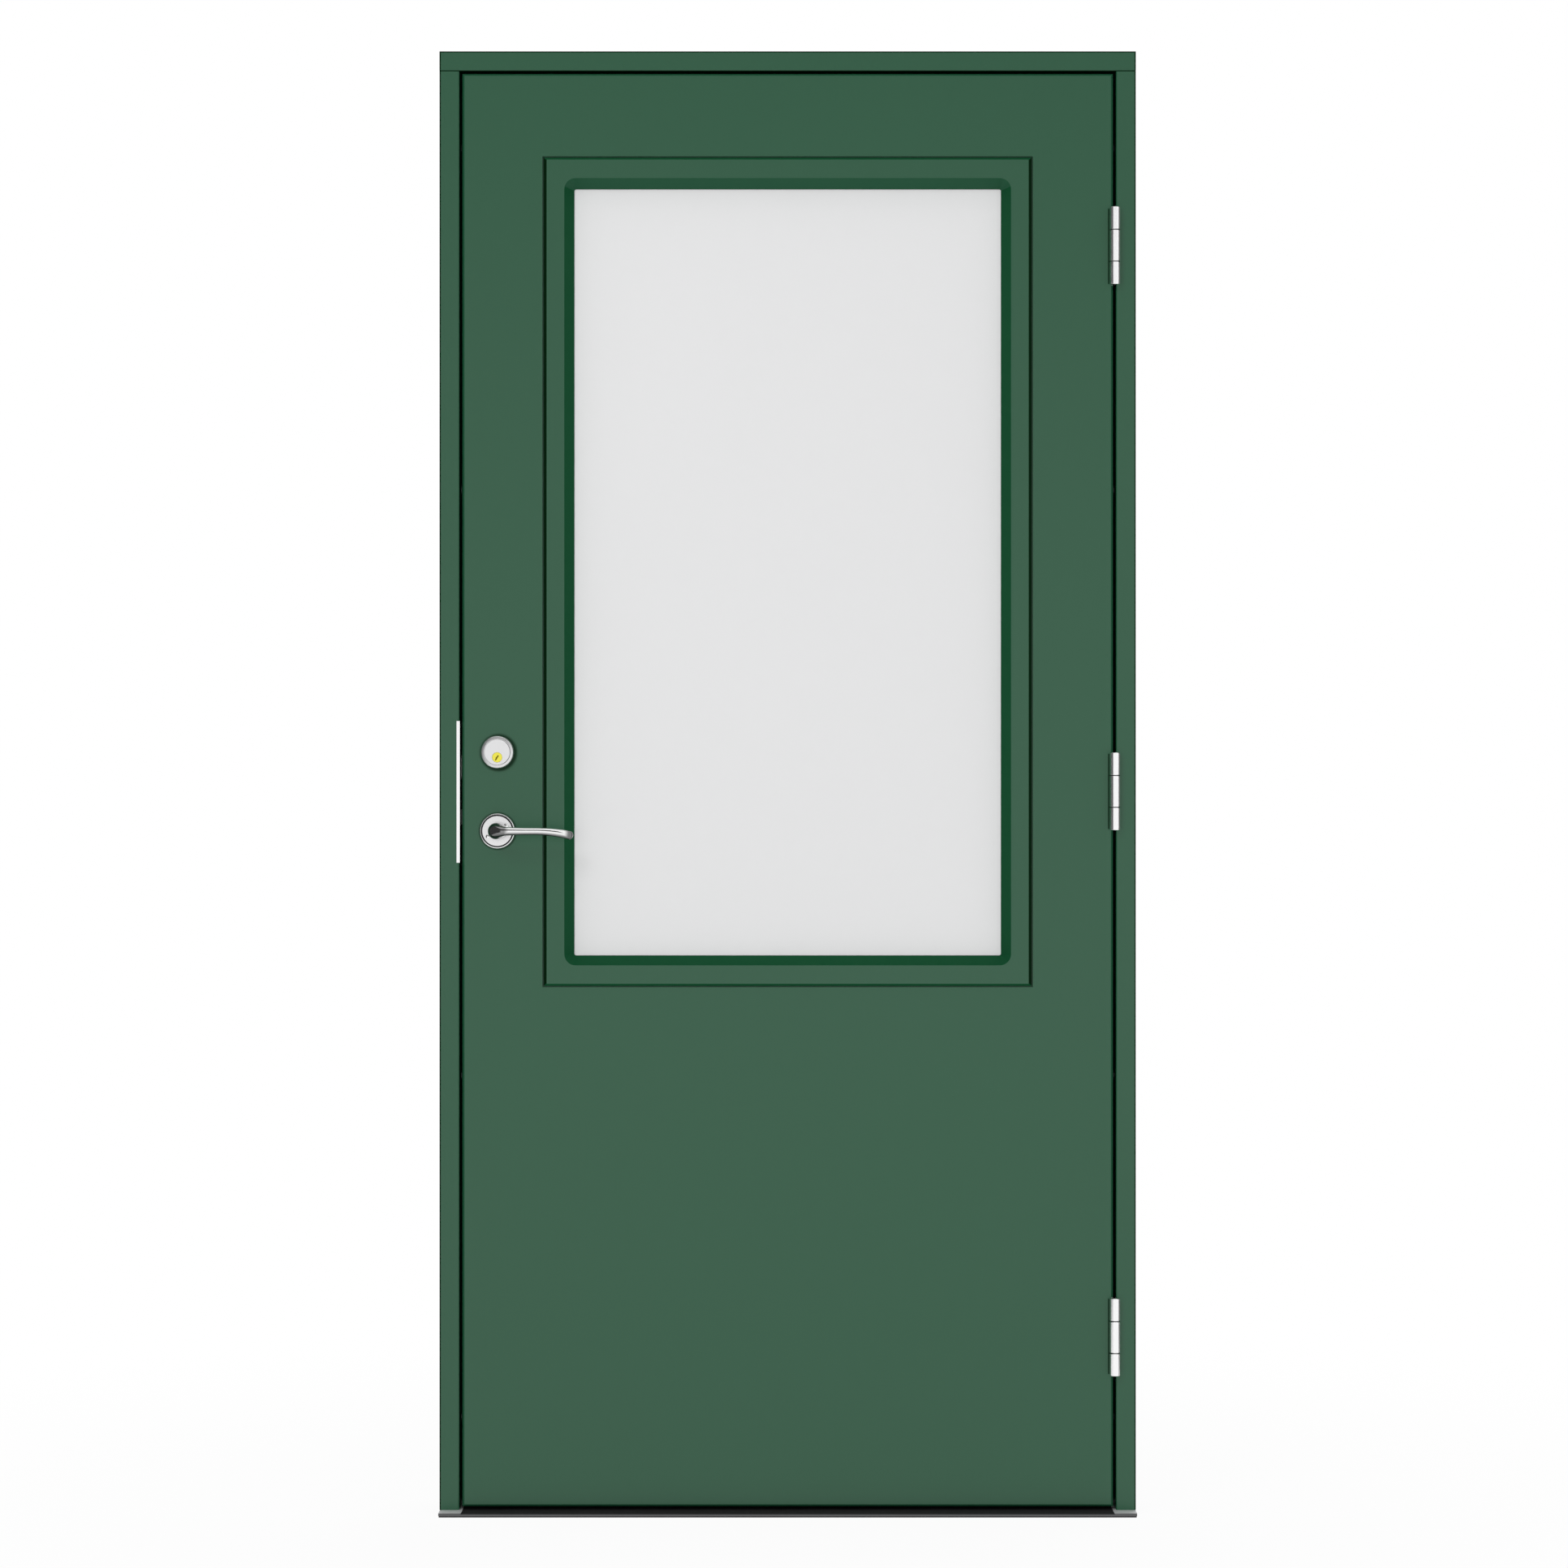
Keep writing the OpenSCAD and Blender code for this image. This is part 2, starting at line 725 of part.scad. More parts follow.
// Painted faces of the leaf, bevelled all round
module skin_blank() {
  a = leaf_arris;
  difference() {
    intersection() {
      along_z(leaf_bot, leaf_top) polygon([
        [-leaf_hw, skin_t], [-leaf_hw, a], [-leaf_hw + a, 0],
        [leaf_hw - a, 0], [leaf_hw, a], [leaf_hw, skin_t]
      ]);
      along_x(-leaf_hw, leaf_hw) polygon([
        [skin_t, leaf_bot], [a, leaf_bot], [0, leaf_bot + a],
        [0, leaf_top - a], [a, leaf_top], [skin_t, leaf_top]
      ]);
    }
    translate([0, 0, light_mid_z])
      block([-cut_hw, -over, -window_h / 2], [cut_hw, skin_t + over, window_h / 2]);
    rod_y(spindle_x, spindle_z, -over, skin_t + over, journal_d + 4);
  }
}

module rose_bolt_spots() {
  for (a = [rose_bolt_turn, rose_bolt_turn + 180]) {
    translate([spindle_x + rose_bolt_r * cos(a), 0, spindle_z + rose_bolt_r * sin(a)]) children();
  }
}

module rose_bolt_holes(d) {
  rose_bolt_spots() rod_y(0, 0, -4 * rose_h, leaf_t + 4 * rose_h, d);
}

module outer_skin() {
  color(paint) difference() {
    skin_blank();
    rod_y(spindle_x, ring_z, -over, skin_t + over, barrel_d + 1);
    rose_bolt_holes(rose_bolt_d + 1);
    leaf_plate_recesses();
  }
}

module inner_skin() {
  color(paint) difference() {
    house_side() skin_blank();
    rod_y(spindle_x, plug_z, leaf_t - skin_t - over, leaf_t + over, cam_hub_d + 4);
    rose_bolt_holes(rose_bolt_d + 1);
    cylinder_screw_set(slack * 4);
  }
}

// Timber inside the leaf
module lock_stile() {
  fy = forend_w / 2;
  cy = case_t / 2 + 0.5;
  color(timber) difference() {
    block([-leaf_hw, skin_t, leaf_bot], [-rail_x, leaf_t - skin_t, leaf_top]);
    block([-leaf_hw - over, lock_y - fy, forend_z - forend_h / 2],
          [-leaf_hw + forend_t, lock_y + fy, forend_z + forend_h / 2]);
    block([-leaf_hw, lock_y - cy, case_z0 - 1.5], [case_back + 2, lock_y + cy, case_z1 + 1.5]);
    rod_y(spindle_x, spindle_z, 0, leaf_t, journal_d + 4);
    rod_y(spindle_x, ring_z, 0, lock_y, barrel_d + 1);
    rod_y(spindle_x, plug_z, lock_y, leaf_t, cam_hub_d + 4);
    rose_bolt_holes(rose_bolt_d + 1);
    cylinder_screw_set(slack * 4);
    forend_screw_set(slack);
    glazing_screw_set(slack);
  }
}

module hinge_stile() {
  color(timber) difference() {
    block([rail_x, skin_t, leaf_bot], [leaf_hw, leaf_t - skin_t, leaf_top]);
    leaf_plate_recesses();
    leaf_hinge_screws(slack);
    glazing_screw_set(slack);
  }
}

module top_rail() {
  color(timber) difference() {
    block([-rail_x, skin_t, light_mid_z + hole_hh], [rail_x, leaf_t - skin_t, leaf_top]);
    glazing_screw_set(slack);
  }
}

module middle_rail() {
  color(timber) difference() {
    block([-rail_x, skin_t, mid_rail_top - mid_rail_h], [rail_x, leaf_t - skin_t, mid_rail_top]);
    glazing_screw_set(slack);
  }
}

module bottom_rail() {
  color(timber) block([-rail_x, skin_t, leaf_bot], [rail_x, leaf_t - skin_t, bottom_rail_top]);
}

module insulation_core() {
  color(foam) block([-rail_x, skin_t, bottom_rail_top],
                    [rail_x, leaf_t - skin_t, mid_rail_top - mid_rail_h]);
}

// Glazing frames: flat face, bevelled outside, sloping down to the pane inside
module bezel(depth) {
  a = bezel_arris;
  p = bezel_proud;
  slope = bevel_w / depth;
  leg_end = depth - p;
  out = 2;
  difference() {
    translate([0, 0, light_mid_z]) union() {
      intersection() {
        along_z(-bez_hh, bez_hh) polygon([
          [-bez_hw, skin_t], [-bez_hw, a - p], [-bez_hw + a, -p],
          [bez_hw - a, -p], [bez_hw, a - p], [bez_hw, skin_t]
        ]);
        along_x(-bez_hw, bez_hw) polygon([
          [skin_t, -bez_hh], [a - p, -bez_hh], [-p, -bez_hh + a],
          [-p, bez_hh - a], [a - p, bez_hh], [skin_t, bez_hh]
        ]);
      }
      block([-sight_hw - leg_lap, skin_t - over, -sight_hh - leg_lap],
            [sight_hw + leg_lap, leg_end, sight_hh + leg_lap]);
    }
    translate([0, 0, light_mid_z]) hull() {
      for (sx = [-1, 1], sz = [-1, 1]) {
        translate([sx * (bev_hw - bevel_r), -p - out, sz * (bev_hh - bevel_r)]) rotate([-90, 0, 0])
          cylinder(h = depth + 2 * out, r1 = bevel_r + slope * out, r2 = bevel_r - bevel_w - slope * out,
                   $fn = 48);
      }
    }
  }
}

module outer_glazing_frame() {
  color(paint) bezel(bevel_depth);
}

module inner_glazing_frame() {
  color(paint) difference() {
    house_side() bezel(inner_bevel_depth);
    glazing_screw_set(slack);
  }
}

module glazing_screw_set(fit) {
  inset = bezel_flat / 2 + 1;
  y = leaf_t + bezel_proud;
  for (s = [-1, 1]) {
    for (k = [-0.82, -0.28, 0.28, 0.82]) {
      translate([s * (bez_hw - inset), y, light_mid_z + k * bez_hh])
        rotate([90, 0, 0]) screw(glazing_screw_len, glazing_screw_d, glazing_screw_head_d, fit);
    }
    for (k = [-0.45, 0.45]) {
      translate([k * bez_hw, y, light_mid_z + s * (bez_hh - inset)])
        rotate([90, 0, 0]) screw(glazing_screw_len, glazing_screw_d, glazing_screw_head_d, fit);
    }
  }
}

module glazing_screws() {
  color(zinc) glazing_screw_set(0);
}

// Sealed unit
module outer_pane() {
  color(glass) translate([0, 0, light_mid_z])
    block([-glass_hw, pane_y, -glass_hh], [glass_hw, cavity_y, glass_hh]);
}

module inner_pane() {
  color(glass) translate([0, 0, light_mid_z])
    block([-glass_hw, inner_pane_y, -glass_hh], [glass_hw, inner_pane_y + pane_t, glass_hh]);
}

module spacer_bar() {
  o = spacer_lap + spacer_w;
  color(alu) difference() {
    light_ring(sight_hw + o, sight_hh + o, sight_hw + spacer_lap, sight_hh + spacer_lap,
               cavity_y, inner_pane_y);
    light_ring(sight_hw + o - 0.8, sight_hh + o - 0.8, sight_hw + spacer_lap + 0.8,
               sight_hh + spacer_lap + 0.8, cavity_y + 0.8, inner_pane_y - 0.8);
  }
}

module edge_sealant() {
  o = spacer_lap + spacer_w;
  color(rubber) light_ring(glass_hw, glass_hh, sight_hw + o, sight_hh + o, cavity_y, inner_pane_y);
}

module outer_glazing_seal() {
  color(rubber) light_ring(glass_hw, glass_hh, sight_hw + 0.4, sight_hh + 0.4, leg_y, pane_y);
}

module inner_glazing_seal() {
  color(rubber) light_ring(glass_hw, glass_hh, sight_hw + 0.4, sight_hh + 0.4,
                           inner_pane_y + pane_t, inner_leg_y);
}

module setting_blocks() {
  color(rubber) for (s = [-1, 1]) {
    translate([s * sight_hw * 0.66, 0, light_mid_z])
      block([-setting_block_hl, pane_y, -hole_hh], [setting_block_hl, inner_pane_y + pane_t, -glass_hh]);
  }
}

// Mortise lock
module lock_case() {
  cy = case_t / 2;
  x0 = lock_edge + forend_t;
  color(zinc) difference() {
    block([x0, lock_y - cy, case_z0], [case_back, lock_y + cy, case_z1]);
    block([x0 + case_wall, lock_y - cy + case_wall, case_z0 + case_wall],
          [case_back - case_wall, lock_y + cy - case_wall, case_z1 - case_wall]);
    forend_slots(0.3);
    rod_y(spindle_x, spindle_z, 0, leaf_t, follower_d + 0.4);
    rod_y(spindle_x, plug_z, 0, leaf_t, cam_hub_d + 0.4);
    rose_bolt_holes(rose_bolt_d + 1);
    cylinder_screw_set(slack * 4);
  }
}

module forend_slots(fit) {
  lw = latch_w / 2 + fit;
  lh = latch_h / 2 + fit;
  bw = bolt_w / 2 + fit;
  bh = bolt_h / 2 + fit;
  x1 = lock_edge + forend_t + case_wall + over;
  block([lock_edge - over, lock_y - lw, latch_z - lh], [x1, lock_y + lw, latch_z + lh]);
  block([lock_edge - over, lock_y - bw, bolt_z - bh], [x1, lock_y + bw, bolt_z + bh]);
}

module forend_screw_set(fit) {
  for (s = [-1, 1]) {
    translate([lock_edge, lock_y, forend_z + s * (forend_h / 2 - forend_screw_end)])
      rotate([0, 90, 0]) screw(forend_screw_len, screw_d, forend_screw_head_d, fit);
  }
}

module lock_forend() {
  color(steel) difference() {
    block([lock_edge, lock_y - forend_w / 2, forend_z - forend_h / 2],
          [lock_edge + forend_t, lock_y + forend_w / 2, forend_z + forend_h / 2]);
    forend_slots(0.3);
    forend_screw_set(slack);
  }
}

module forend_screws() {
  color(zinc) forend_screw_set(0);
}

module latch_bolt() {
  y0 = lock_y - latch_w / 2;
  y1 = lock_y + latch_w / 2;
  tip = lock_edge - latch_out;
  color(steel) {
    along_z(latch_z - latch_h / 2, latch_z + latch_h / 2) polygon([
      [latch_root, y0], [tip, y0], [tip, y1 - latch_bevel], [tip + latch_bevel, y1], [latch_root, y1]
    ]);
    block([latch_root - over, lock_y - 2.5, latch_z], [hook_x + hook_w, lock_y + 2.5, latch_z + 8]);
    block([hook_x, lock_y - 2.5, latch_z - hook_drop], [hook_x + hook_w, lock_y + 2.5, latch_z + 8]);
  }
}

// Wire bent into a coil between the latch tail and the back of the case
function coil_ring(i, n, turns, r, len) =
  [len * i / n, r * cos(360 * turns * i / n), r * sin(360 * turns * i / n)];

module latch_spring() {
  turns = 7;
  steps = turns * 12;
  sides = 6;
  wire = 0.6;
  r = 3.2;
  x0 = hook_x + hook_w + wire + 0.2;
  len = case_back - case_wall - wire - 0.2 - x0;
  points = [
    for (i = [0 : steps], k = [0 : sides - 1])
      let (
        c = coil_ring(i, steps, turns, r, len),
        u = 360 * turns * i / steps,
        a = 360 * k / sides
      )
      c + wire * [cos(a), sin(a) * cos(u), sin(a) * sin(u)]
  ];
  faces = concat(
    [[for (k = [0 : sides - 1]) k]],
    [for (i = [0 : steps - 1], k = [0 : sides - 1])
      let (a = i * sides + k, b = i * sides + (k + 1) % sides)
      [a, a + sides, b + sides, b]],
    [[for (k = [sides - 1 : -1 : 0]) steps * sides + k]]
  );
  color(steel) translate([x0, lock_y, latch_z + 4]) polyhedron(points, faces);
}

module dead_bolt() {
  slot_x = spindle_x + bolt_throw / 2;
  tail_y0 = lock_y - 2.5;
  tail_y1 = lock_y + 0.5;
  color(steel) difference() {
    union() {
      block([lock_edge, lock_y - bolt_w / 2, bolt_z - bolt_h / 2],
            [bolt_root, lock_y + bolt_w / 2, bolt_z + bolt_h / 2]);
      block([bolt_root - over, tail_y0, bolt_z - bolt_h / 2],
            [slot_x + cam_slot / 2 + 4, tail_y1, bolt_tail_top]);
    }
    block([slot_x - cam_slot / 2, tail_y0 - over, plug_z - cam_r - cam_pin_d / 2 - 0.8],
          [slot_x + cam_slot / 2, tail_y1 + over, bolt_tail_top + over]);
  }
}

module bolt_cam() {
  y0 = lock_y - case_t / 2 + case_wall + 0.3;
  h = drive_bar / 2 + 0.2;
  color(zinc) translate([spindle_x, 0, plug_z]) difference() {
    union() {
      rod_y(0, 0, lock_y - case_t / 2 + 0.2, lock_y + case_t / 2 - 0.2, cam_hub_d);
      rotate([0, -45, 0]) {
        block([-3, y0, -cam_r], [3, y0 + 2.6, 0]);
        rod_y(0, -cam_r, y0, y0 + 2.6, 6);
        rod_y(0, -cam_r, y0, lock_y + 1, cam_pin_d);
      }
    }
    block([-h, 0, -h], [h, leaf_t, h]);
  }
}

module follower() {
  h = spindle_s / 2 + 0.05;
  color(zinc) translate([spindle_x, 0, spindle_z]) difference() {
    union() {
      rod_y(0, 0, lock_y - case_t / 2 + 0.2, lock_y + case_t / 2 - 0.2, follower_d);
      rotate([0, -follower_lean, 0])
        block([-follower_half, lock_y - 3, 0], [follower_half, lock_y + 3, follower_arm]);
    }
    block([-h, 0, -h], [h, leaf_t, h]);
  }
}

module spindle() {
  h = spindle_s / 2;
  color(zinc) translate([spindle_x, 0, spindle_z])
    block([-h, -spindle_in, -h], [h, leaf_t + spindle_in, h]);
}

// Cylinder with its ring and plug
module cylinder_ring() {
  r = ring_d / 2;
  i = body_d / 2 + 0.15;
  color(steel) turned_out(spindle_x, ring_z)
    polygon([
      [i, 0], [r, 0], [r, ring_h * 0.6], [r - 1, ring_h * 0.86], [i + 0.6, ring_h], [i, ring_h - 0.4]
    ]);
}

module cylinder_screw_set(fit) {
  for (p = cylinder_screw_spots) {
    translate([spindle_x + p[0], leaf_t + 2, ring_z + p[1]]) rotate([90, 0, 0]) {
      translate([0, 0, 2 - fit]) cylinder(h = leaf_t - 10 + 2 * fit, d = cylinder_screw_d + 2 * fit);
      translate([0, 0, -fit]) cylinder(h = 2.1 + fit, d = 8 + 2 * fit);
    }
  }
}

module cylinder_screws() {
  color(zinc) cylinder_screw_set(0);
}

module cylinder_body() {
  face = ring_h - 0.6;
  color(steel) difference() {
    union() {
      rod_y(spindle_x, ring_z, -face, 0, body_d);
      rod_y(spindle_x, ring_z, -over, lock_y - case_t / 2 - 0.5, barrel_d);
    }
    rod_y(spindle_x, plug_z, -2 * face, lock_y, plug_d + 2 * pin_fit);
    cylinder_screw_set(slack);
  }
}

module cylinder_plug() {
  face = ring_h - 0.3;
  back = lock_y - case_t / 2 - 1.5;
  color(brass) translate([spindle_x, 0, plug_z]) difference() {
    union() {
      rod_y(0, 0, -face, back, plug_d);
      block([-drive_bar / 2, back - over, -drive_bar / 2], [drive_bar / 2, lock_y - 1, drive_bar / 2]);
    }
    rotate([0, 32, 0]) {
      block([-0.75, -2 * face, -4.6], [0.75, back - 3, 3.2]);
      block([-1.5, -2 * face, -1.6], [0.75, back - 3, 0.2]);
    }
  }
}

// Roses, with a shadow groove inside the rim
module rose() {
  r = rose_d / 2;
  b = journal_d / 2 + 0.08;
  h = rose_h;
  turned_out(spindle_x, spindle_z) polygon([
    [b, 0], [r, 0], [r, h * 0.4], [r - 0.9, h * 0.72], [r - 1.8, h * 0.82], [r - 2.6, h * 0.82],
    [r - 2.6, h * 0.5], [r - 4, h * 0.5], [r - 4, h - 0.5], [r - 4.5, h], [b, h]
  ]);
}

module outer_rose() {
  color(steel) difference() {
    rose();
    rose_bolt_holes(rose_bolt_d + 0.4);
  }
}

module inner_rose() {
  color(steel) difference() {
    house_side() rose();
    rose_bolt_holes(rose_bolt_d + 0.4);
  }
}

module rose_bolts() {
  r = rose_bolt_head_d / 2;
  color(steel) rose_bolt_spots() {
    rod_y(0, 0, -rose_h - 0.5, leaf_t + rose_h + 0.5, rose_bolt_d);
    for (s = [0, 1]) translate([0, leaf_t / 2, 0]) mirror([0, s, 0]) translate([0, -leaf_t / 2 - rose_h, 0])
      rotate([90, 0, 0]) rotate_extrude() polygon([
        [0, 0], [r, 0], [r, 0.5], [r * 0.86, 1.2], [r * 0.6, 1.75], [r * 0.3, 2.05], [0, 2.15]
      ]);
  }
}

module thumbturn_rose() {
  r = turn_rose_d / 2;
  b = cam_hub_d / 2 + 0.3;
  h = rose_h;
  color(steel) house_side() turned_out(spindle_x, plug_z) polygon([
    [b, h - 3], [r - 3, h - 3], [r - 3, 0], [r, 0], [r, h * 0.5], [r - 1, h * 0.8], [r - 3, h], [b, h]
  ]);
}

module thumbturn() {
  grip = 17;
  h = rose_h + 0.4;
  color(steel) translate([spindle_x, leaf_t, plug_z]) {
    block([-drive_bar / 2, lock_y + 1 - leaf_t, -drive_bar / 2], [drive_bar / 2, h, drive_bar / 2]);
    rod_y(0, 0, rose_h - 3, h, cam_hub_d);
    rod_y(0, 0, h - 0.01, h + 3, 24);
    difference() {
      hull() {
        for (s = [-1, 1]) {
          rod_y(0, s * (grip - 5), h + 2, h + 14, 10);
          rod_y(0, s * (grip - 4), h + 2, h + 18, 6);
        }
      }
      for (s = [-1, 1]) {
        translate([s * 14, h + 14, -2 * grip]) cylinder(h = 4 * grip, r = 11);
      }
    }
  }
}

// Lever swept from a round neck through a bend into a slim drooping arm
function ease(a, b, x) =
  let (t = max(0, min(1, (x - a) / (b - a))))
  t * t * (3 - 2 * t);

function tip_bow(u) = pow(max(0, (u - lever_reach * 0.52) / (lever_reach * 0.48)), 2);

// Middle of the lever at a distance along it: out along the arm, out from the leaf, up
function lever_mid(s) =
  s < neck_len ? [0, neck_v + s, 0]
  : s < neck_len + bend_len ?
    let (a = (s - neck_len) / lever_bend * 180 / PI)
    [lever_bend * (1 - cos(a)), bend_v + lever_bend * sin(a), 0]
  : let (u = lever_bend + s - neck_len - bend_len)
    [u, lever_out - lever_return * tip_bow(u), -lever_drop * tip_bow(u)];

function lever_dir(s) =
  let (d = lever_mid(s + 0.05) - lever_mid(s - 0.05))
  d / norm(d);

// Half height and half thickness of the section at a distance along the lever
function lever_size(s) =
  let (
    e = ease(neck_len * 0.95, neck_len + bend_len * 1.05, s),
    tip = ease(lever_len * 0.5, lever_len, s),
    along = max(0, (s - neck_len - bend_len) / arm_len),
    rise = lever_flare * tip - lever_waist * sin(180 * along),
    nose = max(0, (s - (lever_len - lever_nose)) / lever_nose),
    k = sqrt(max(0.012, 1 - nose * nose))
  )
  k * [neck_r + (lever_half_h - neck_r) * e + rise, neck_r + (lever_half_t - neck_r) * e - 0.4 * tip];

module lever_sweep() {
  n = lever_sides;
  m = lever_steps;
  f = (lever_nose + 1) / lever_len;
  points = [
    for (i = [0 : m])
      let (
        s = 0.06 + (lever_len - 0.12) * (i <= m - 6 ? (1 - f) * i / (m - 6) : 1 - f * pow((m - i) / 6, 1.8)),
        c = lever_mid(s),
        d = lever_dir(s),
        side = [-d[1], d[0], 0] / norm([d[0], d[1]]),
        up = cross(side, d),
        z = lever_size(s)
      )
      for (k = [0 : n - 1])
        let (p = c + side * z[1] * cos(360 * k / n) - up * z[0] * sin(360 * k / n))
        [p[0], -p[1], p[2]]
  ];
  faces = concat(
    [[for (k = [n - 1 : -1 : 0]) k]],
    [for (i = [0 : m - 1], k = [0 : n - 1])
      let (a = i * n + k, b = i * n + (k + 1) % n)
      [a, b, b + n, a + n]],
    [[for (k = [0 : n - 1]) m * n + k]]
  );
  polyhedron(points, faces);
}

module lever() {
  h = spindle_s / 2 + 0.05;
  translate([spindle_x, 0, spindle_z]) difference() {
    union() {
      rod_y(0, 0, -neck_v - over, -0.5, journal_d);
      rod_y(0, 0, -neck_v - 3, -neck_v, collar_d);
      lever_sweep();
    }
    block([-h, -spindle_in - 0.5, -h], [h, over, h]);
  }
}

module outer_lever() {
  color(steel) lever();
}

module inner_lever() {
  color(steel) house_side() lever();
}

frame_head();
lock_jamb();
hinge_jamb();
threshold();
threshold_tread();
sill_gasket();
frame_seal();
threshold_seal();
strike_plate();
frame_sleeves();
frame_corner_screws();
top_hinge_frame_plate();
middle_hinge_frame_plate();
bottom_hinge_frame_plate();
hinge_pins();
hinge_washers();
frame_plate_screws();
outer_skin();
inner_skin();
lock_stile();
hinge_stile();
top_rail();
middle_rail();
bottom_rail();
insulation_core();
outer_glazing_frame();
inner_glazing_frame();
outer_pane();
inner_pane();
spacer_bar();
edge_sealant();
outer_glazing_seal();
inner_glazing_seal();
setting_blocks();
glazing_screws();
lock_case();
lock_forend();
forend_screws();
latch_spring();
cylinder_ring();
cylinder_body();
cylinder_screws();
outer_rose();
inner_rose();
rose_bolts();
thumbturn_rose();
top_hinge_leaf_plate();
middle_hinge_leaf_plate();
bottom_hinge_leaf_plate();
leaf_plate_screws();
outer_lever();
inner_lever();
spindle();
follower();
latch_bolt();
dead_bolt();
thumbturn();
bolt_cam();
cylinder_plug();
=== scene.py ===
import json
import math
import bmesh
import bpy
from mathutils import Matrix, Vector

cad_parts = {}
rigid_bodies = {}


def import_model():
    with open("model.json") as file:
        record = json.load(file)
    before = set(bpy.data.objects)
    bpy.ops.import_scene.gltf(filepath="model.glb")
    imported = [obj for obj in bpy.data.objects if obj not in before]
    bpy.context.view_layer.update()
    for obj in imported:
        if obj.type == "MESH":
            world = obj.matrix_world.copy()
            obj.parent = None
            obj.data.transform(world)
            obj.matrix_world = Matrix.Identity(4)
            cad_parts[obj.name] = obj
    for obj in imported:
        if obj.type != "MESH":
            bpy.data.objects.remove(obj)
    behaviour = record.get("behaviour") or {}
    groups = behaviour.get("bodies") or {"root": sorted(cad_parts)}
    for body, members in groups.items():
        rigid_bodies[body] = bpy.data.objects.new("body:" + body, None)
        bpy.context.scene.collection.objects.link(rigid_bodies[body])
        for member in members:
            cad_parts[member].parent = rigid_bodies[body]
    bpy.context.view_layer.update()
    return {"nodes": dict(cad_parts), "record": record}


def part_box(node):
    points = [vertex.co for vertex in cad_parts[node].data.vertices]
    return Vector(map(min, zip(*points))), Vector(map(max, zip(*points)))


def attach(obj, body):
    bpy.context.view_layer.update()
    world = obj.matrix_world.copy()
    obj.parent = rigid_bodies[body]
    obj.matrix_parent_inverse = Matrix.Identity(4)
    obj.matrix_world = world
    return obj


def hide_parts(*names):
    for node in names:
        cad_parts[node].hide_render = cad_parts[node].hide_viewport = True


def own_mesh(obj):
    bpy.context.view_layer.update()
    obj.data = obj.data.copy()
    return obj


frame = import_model()
nodes = frame["nodes"]
record = frame["record"]
bodyOf = {node: body for body, held in record["behaviour"]["bodies"].items() for node in held}
slotOf = {part["node"]: part["material_slot"] for part in record["subparts"]}
scene = bpy.context.scene
scene.view_settings.view_transform = "Standard"
print("frame loaded:", len(nodes), "nodes")


# A socket that can be added, multiplied and so on, and that makes the other nodes of its tree
class Wire:
    def __init__(self, tree, socket=None):
        self.tree = tree
        self.socket = socket

    def feed(self, target, value):
        if isinstance(value, Wire):
            self.tree.links.new(value.socket, target)
        else:
            target.default_value = value

    def node(self, kind, settings=None, sockets=None, out=0):
        made = self.tree.nodes.new(kind)
        for name, value in (settings or {}).items():
            setattr(made, name, value)
        for key, value in (sockets or {}).items():
            self.feed(made.inputs[key], value)
        return Wire(self.tree, made.outputs[out])

    def maths(self, operation, other=None, turned=False):
        pair = [self] if other is None else [other, self] if turned else [self, other]
        return self.node("ShaderNodeMath", {"operation": operation}, dict(enumerate(pair)))

    def __add__(self, other):
        return self.maths("ADD", other)

    def __radd__(self, other):
        return self.maths("ADD", other, True)

    def __sub__(self, other):
        return self.maths("SUBTRACT", other)

    def __rsub__(self, other):
        return self.maths("SUBTRACT", other, True)

    def __mul__(self, other):
        return self.maths("MULTIPLY", other)

    def __gt__(self, other):
        return self.maths("GREATER_THAN", other)

    def __lt__(self, other):
        return self.maths("LESS_THAN", other)

    def most(self, other):
        return self.maths("MAXIMUM", other)

    def mix(self, first, second):
        pair = [(*c, 1) if isinstance(c, tuple) else c for c in (first, second)]
        return self.node("ShaderNodeMix", {"data_type": "RGBA"}, {0: self, 6: pair[0], 7: pair[1]}, 2)


# Starts a material: its tree and the shader that the rest feeds
def startFinish(name):
    made = bpy.data.materials.new(name)
    made.use_nodes = True
    tree = made.node_tree
    tree.nodes.clear()
    shader = tree.nodes.new("ShaderNodeBsdfPrincipled")
    output = tree.nodes.new("ShaderNodeOutputMaterial")
    tree.links.new(shader.outputs[0], output.inputs[0])
    return made, Wire(tree), shader


def setShader(wire, shader, values):
    for name, value in values.items():
        wire.feed(shader.inputs[name], (*value, 1) if isinstance(value, tuple) else value)


def noiseAt(wire, place, scale, detail=2.0, rough=0.5):
    return wire.node("ShaderNodeTexNoise", {}, {"Vector": place, "Scale": scale, "Detail": detail, "Roughness": rough})


# Object coordinates stretched per axis, for grain and brushing
def stretched(wire, place, scale):
    return wire.node("ShaderNodeVectorMath", {"operation": "MULTIPLY"}, {0: place, 1: scale})


def bumpFrom(wire, height, strength, distance):
    return wire.node("ShaderNodeBump", {}, {"Height": height, "Strength": strength, "Distance": distance})


def axesOf(wire, place):
    split = wire.node("ShaderNodeSeparateXYZ", {}, {0: place})
    return [Wire(wire.tree, socket) for socket in split.socket.node.outputs]


def mapped(wire, value, start, end, first=0.0, last=1.0, kind="SMOOTHSTEP"):
    return wire.node("ShaderNodeMapRange", {"interpolation_type": kind}, {
        "Value": value, "From Min": start, "From Max": end, "To Min": first, "To Max": last})


# Shows a blend of two shaders in place of a material's first one
def showBlend(wire, factor, first, second):
    blend = wire.node("ShaderNodeMixShader", {}, {0: factor, 1: first, 2: second})
    output = next(n for n in wire.tree.nodes if n.type == "OUTPUT_MATERIAL")
    wire.tree.links.new(blend.socket, output.inputs[0])


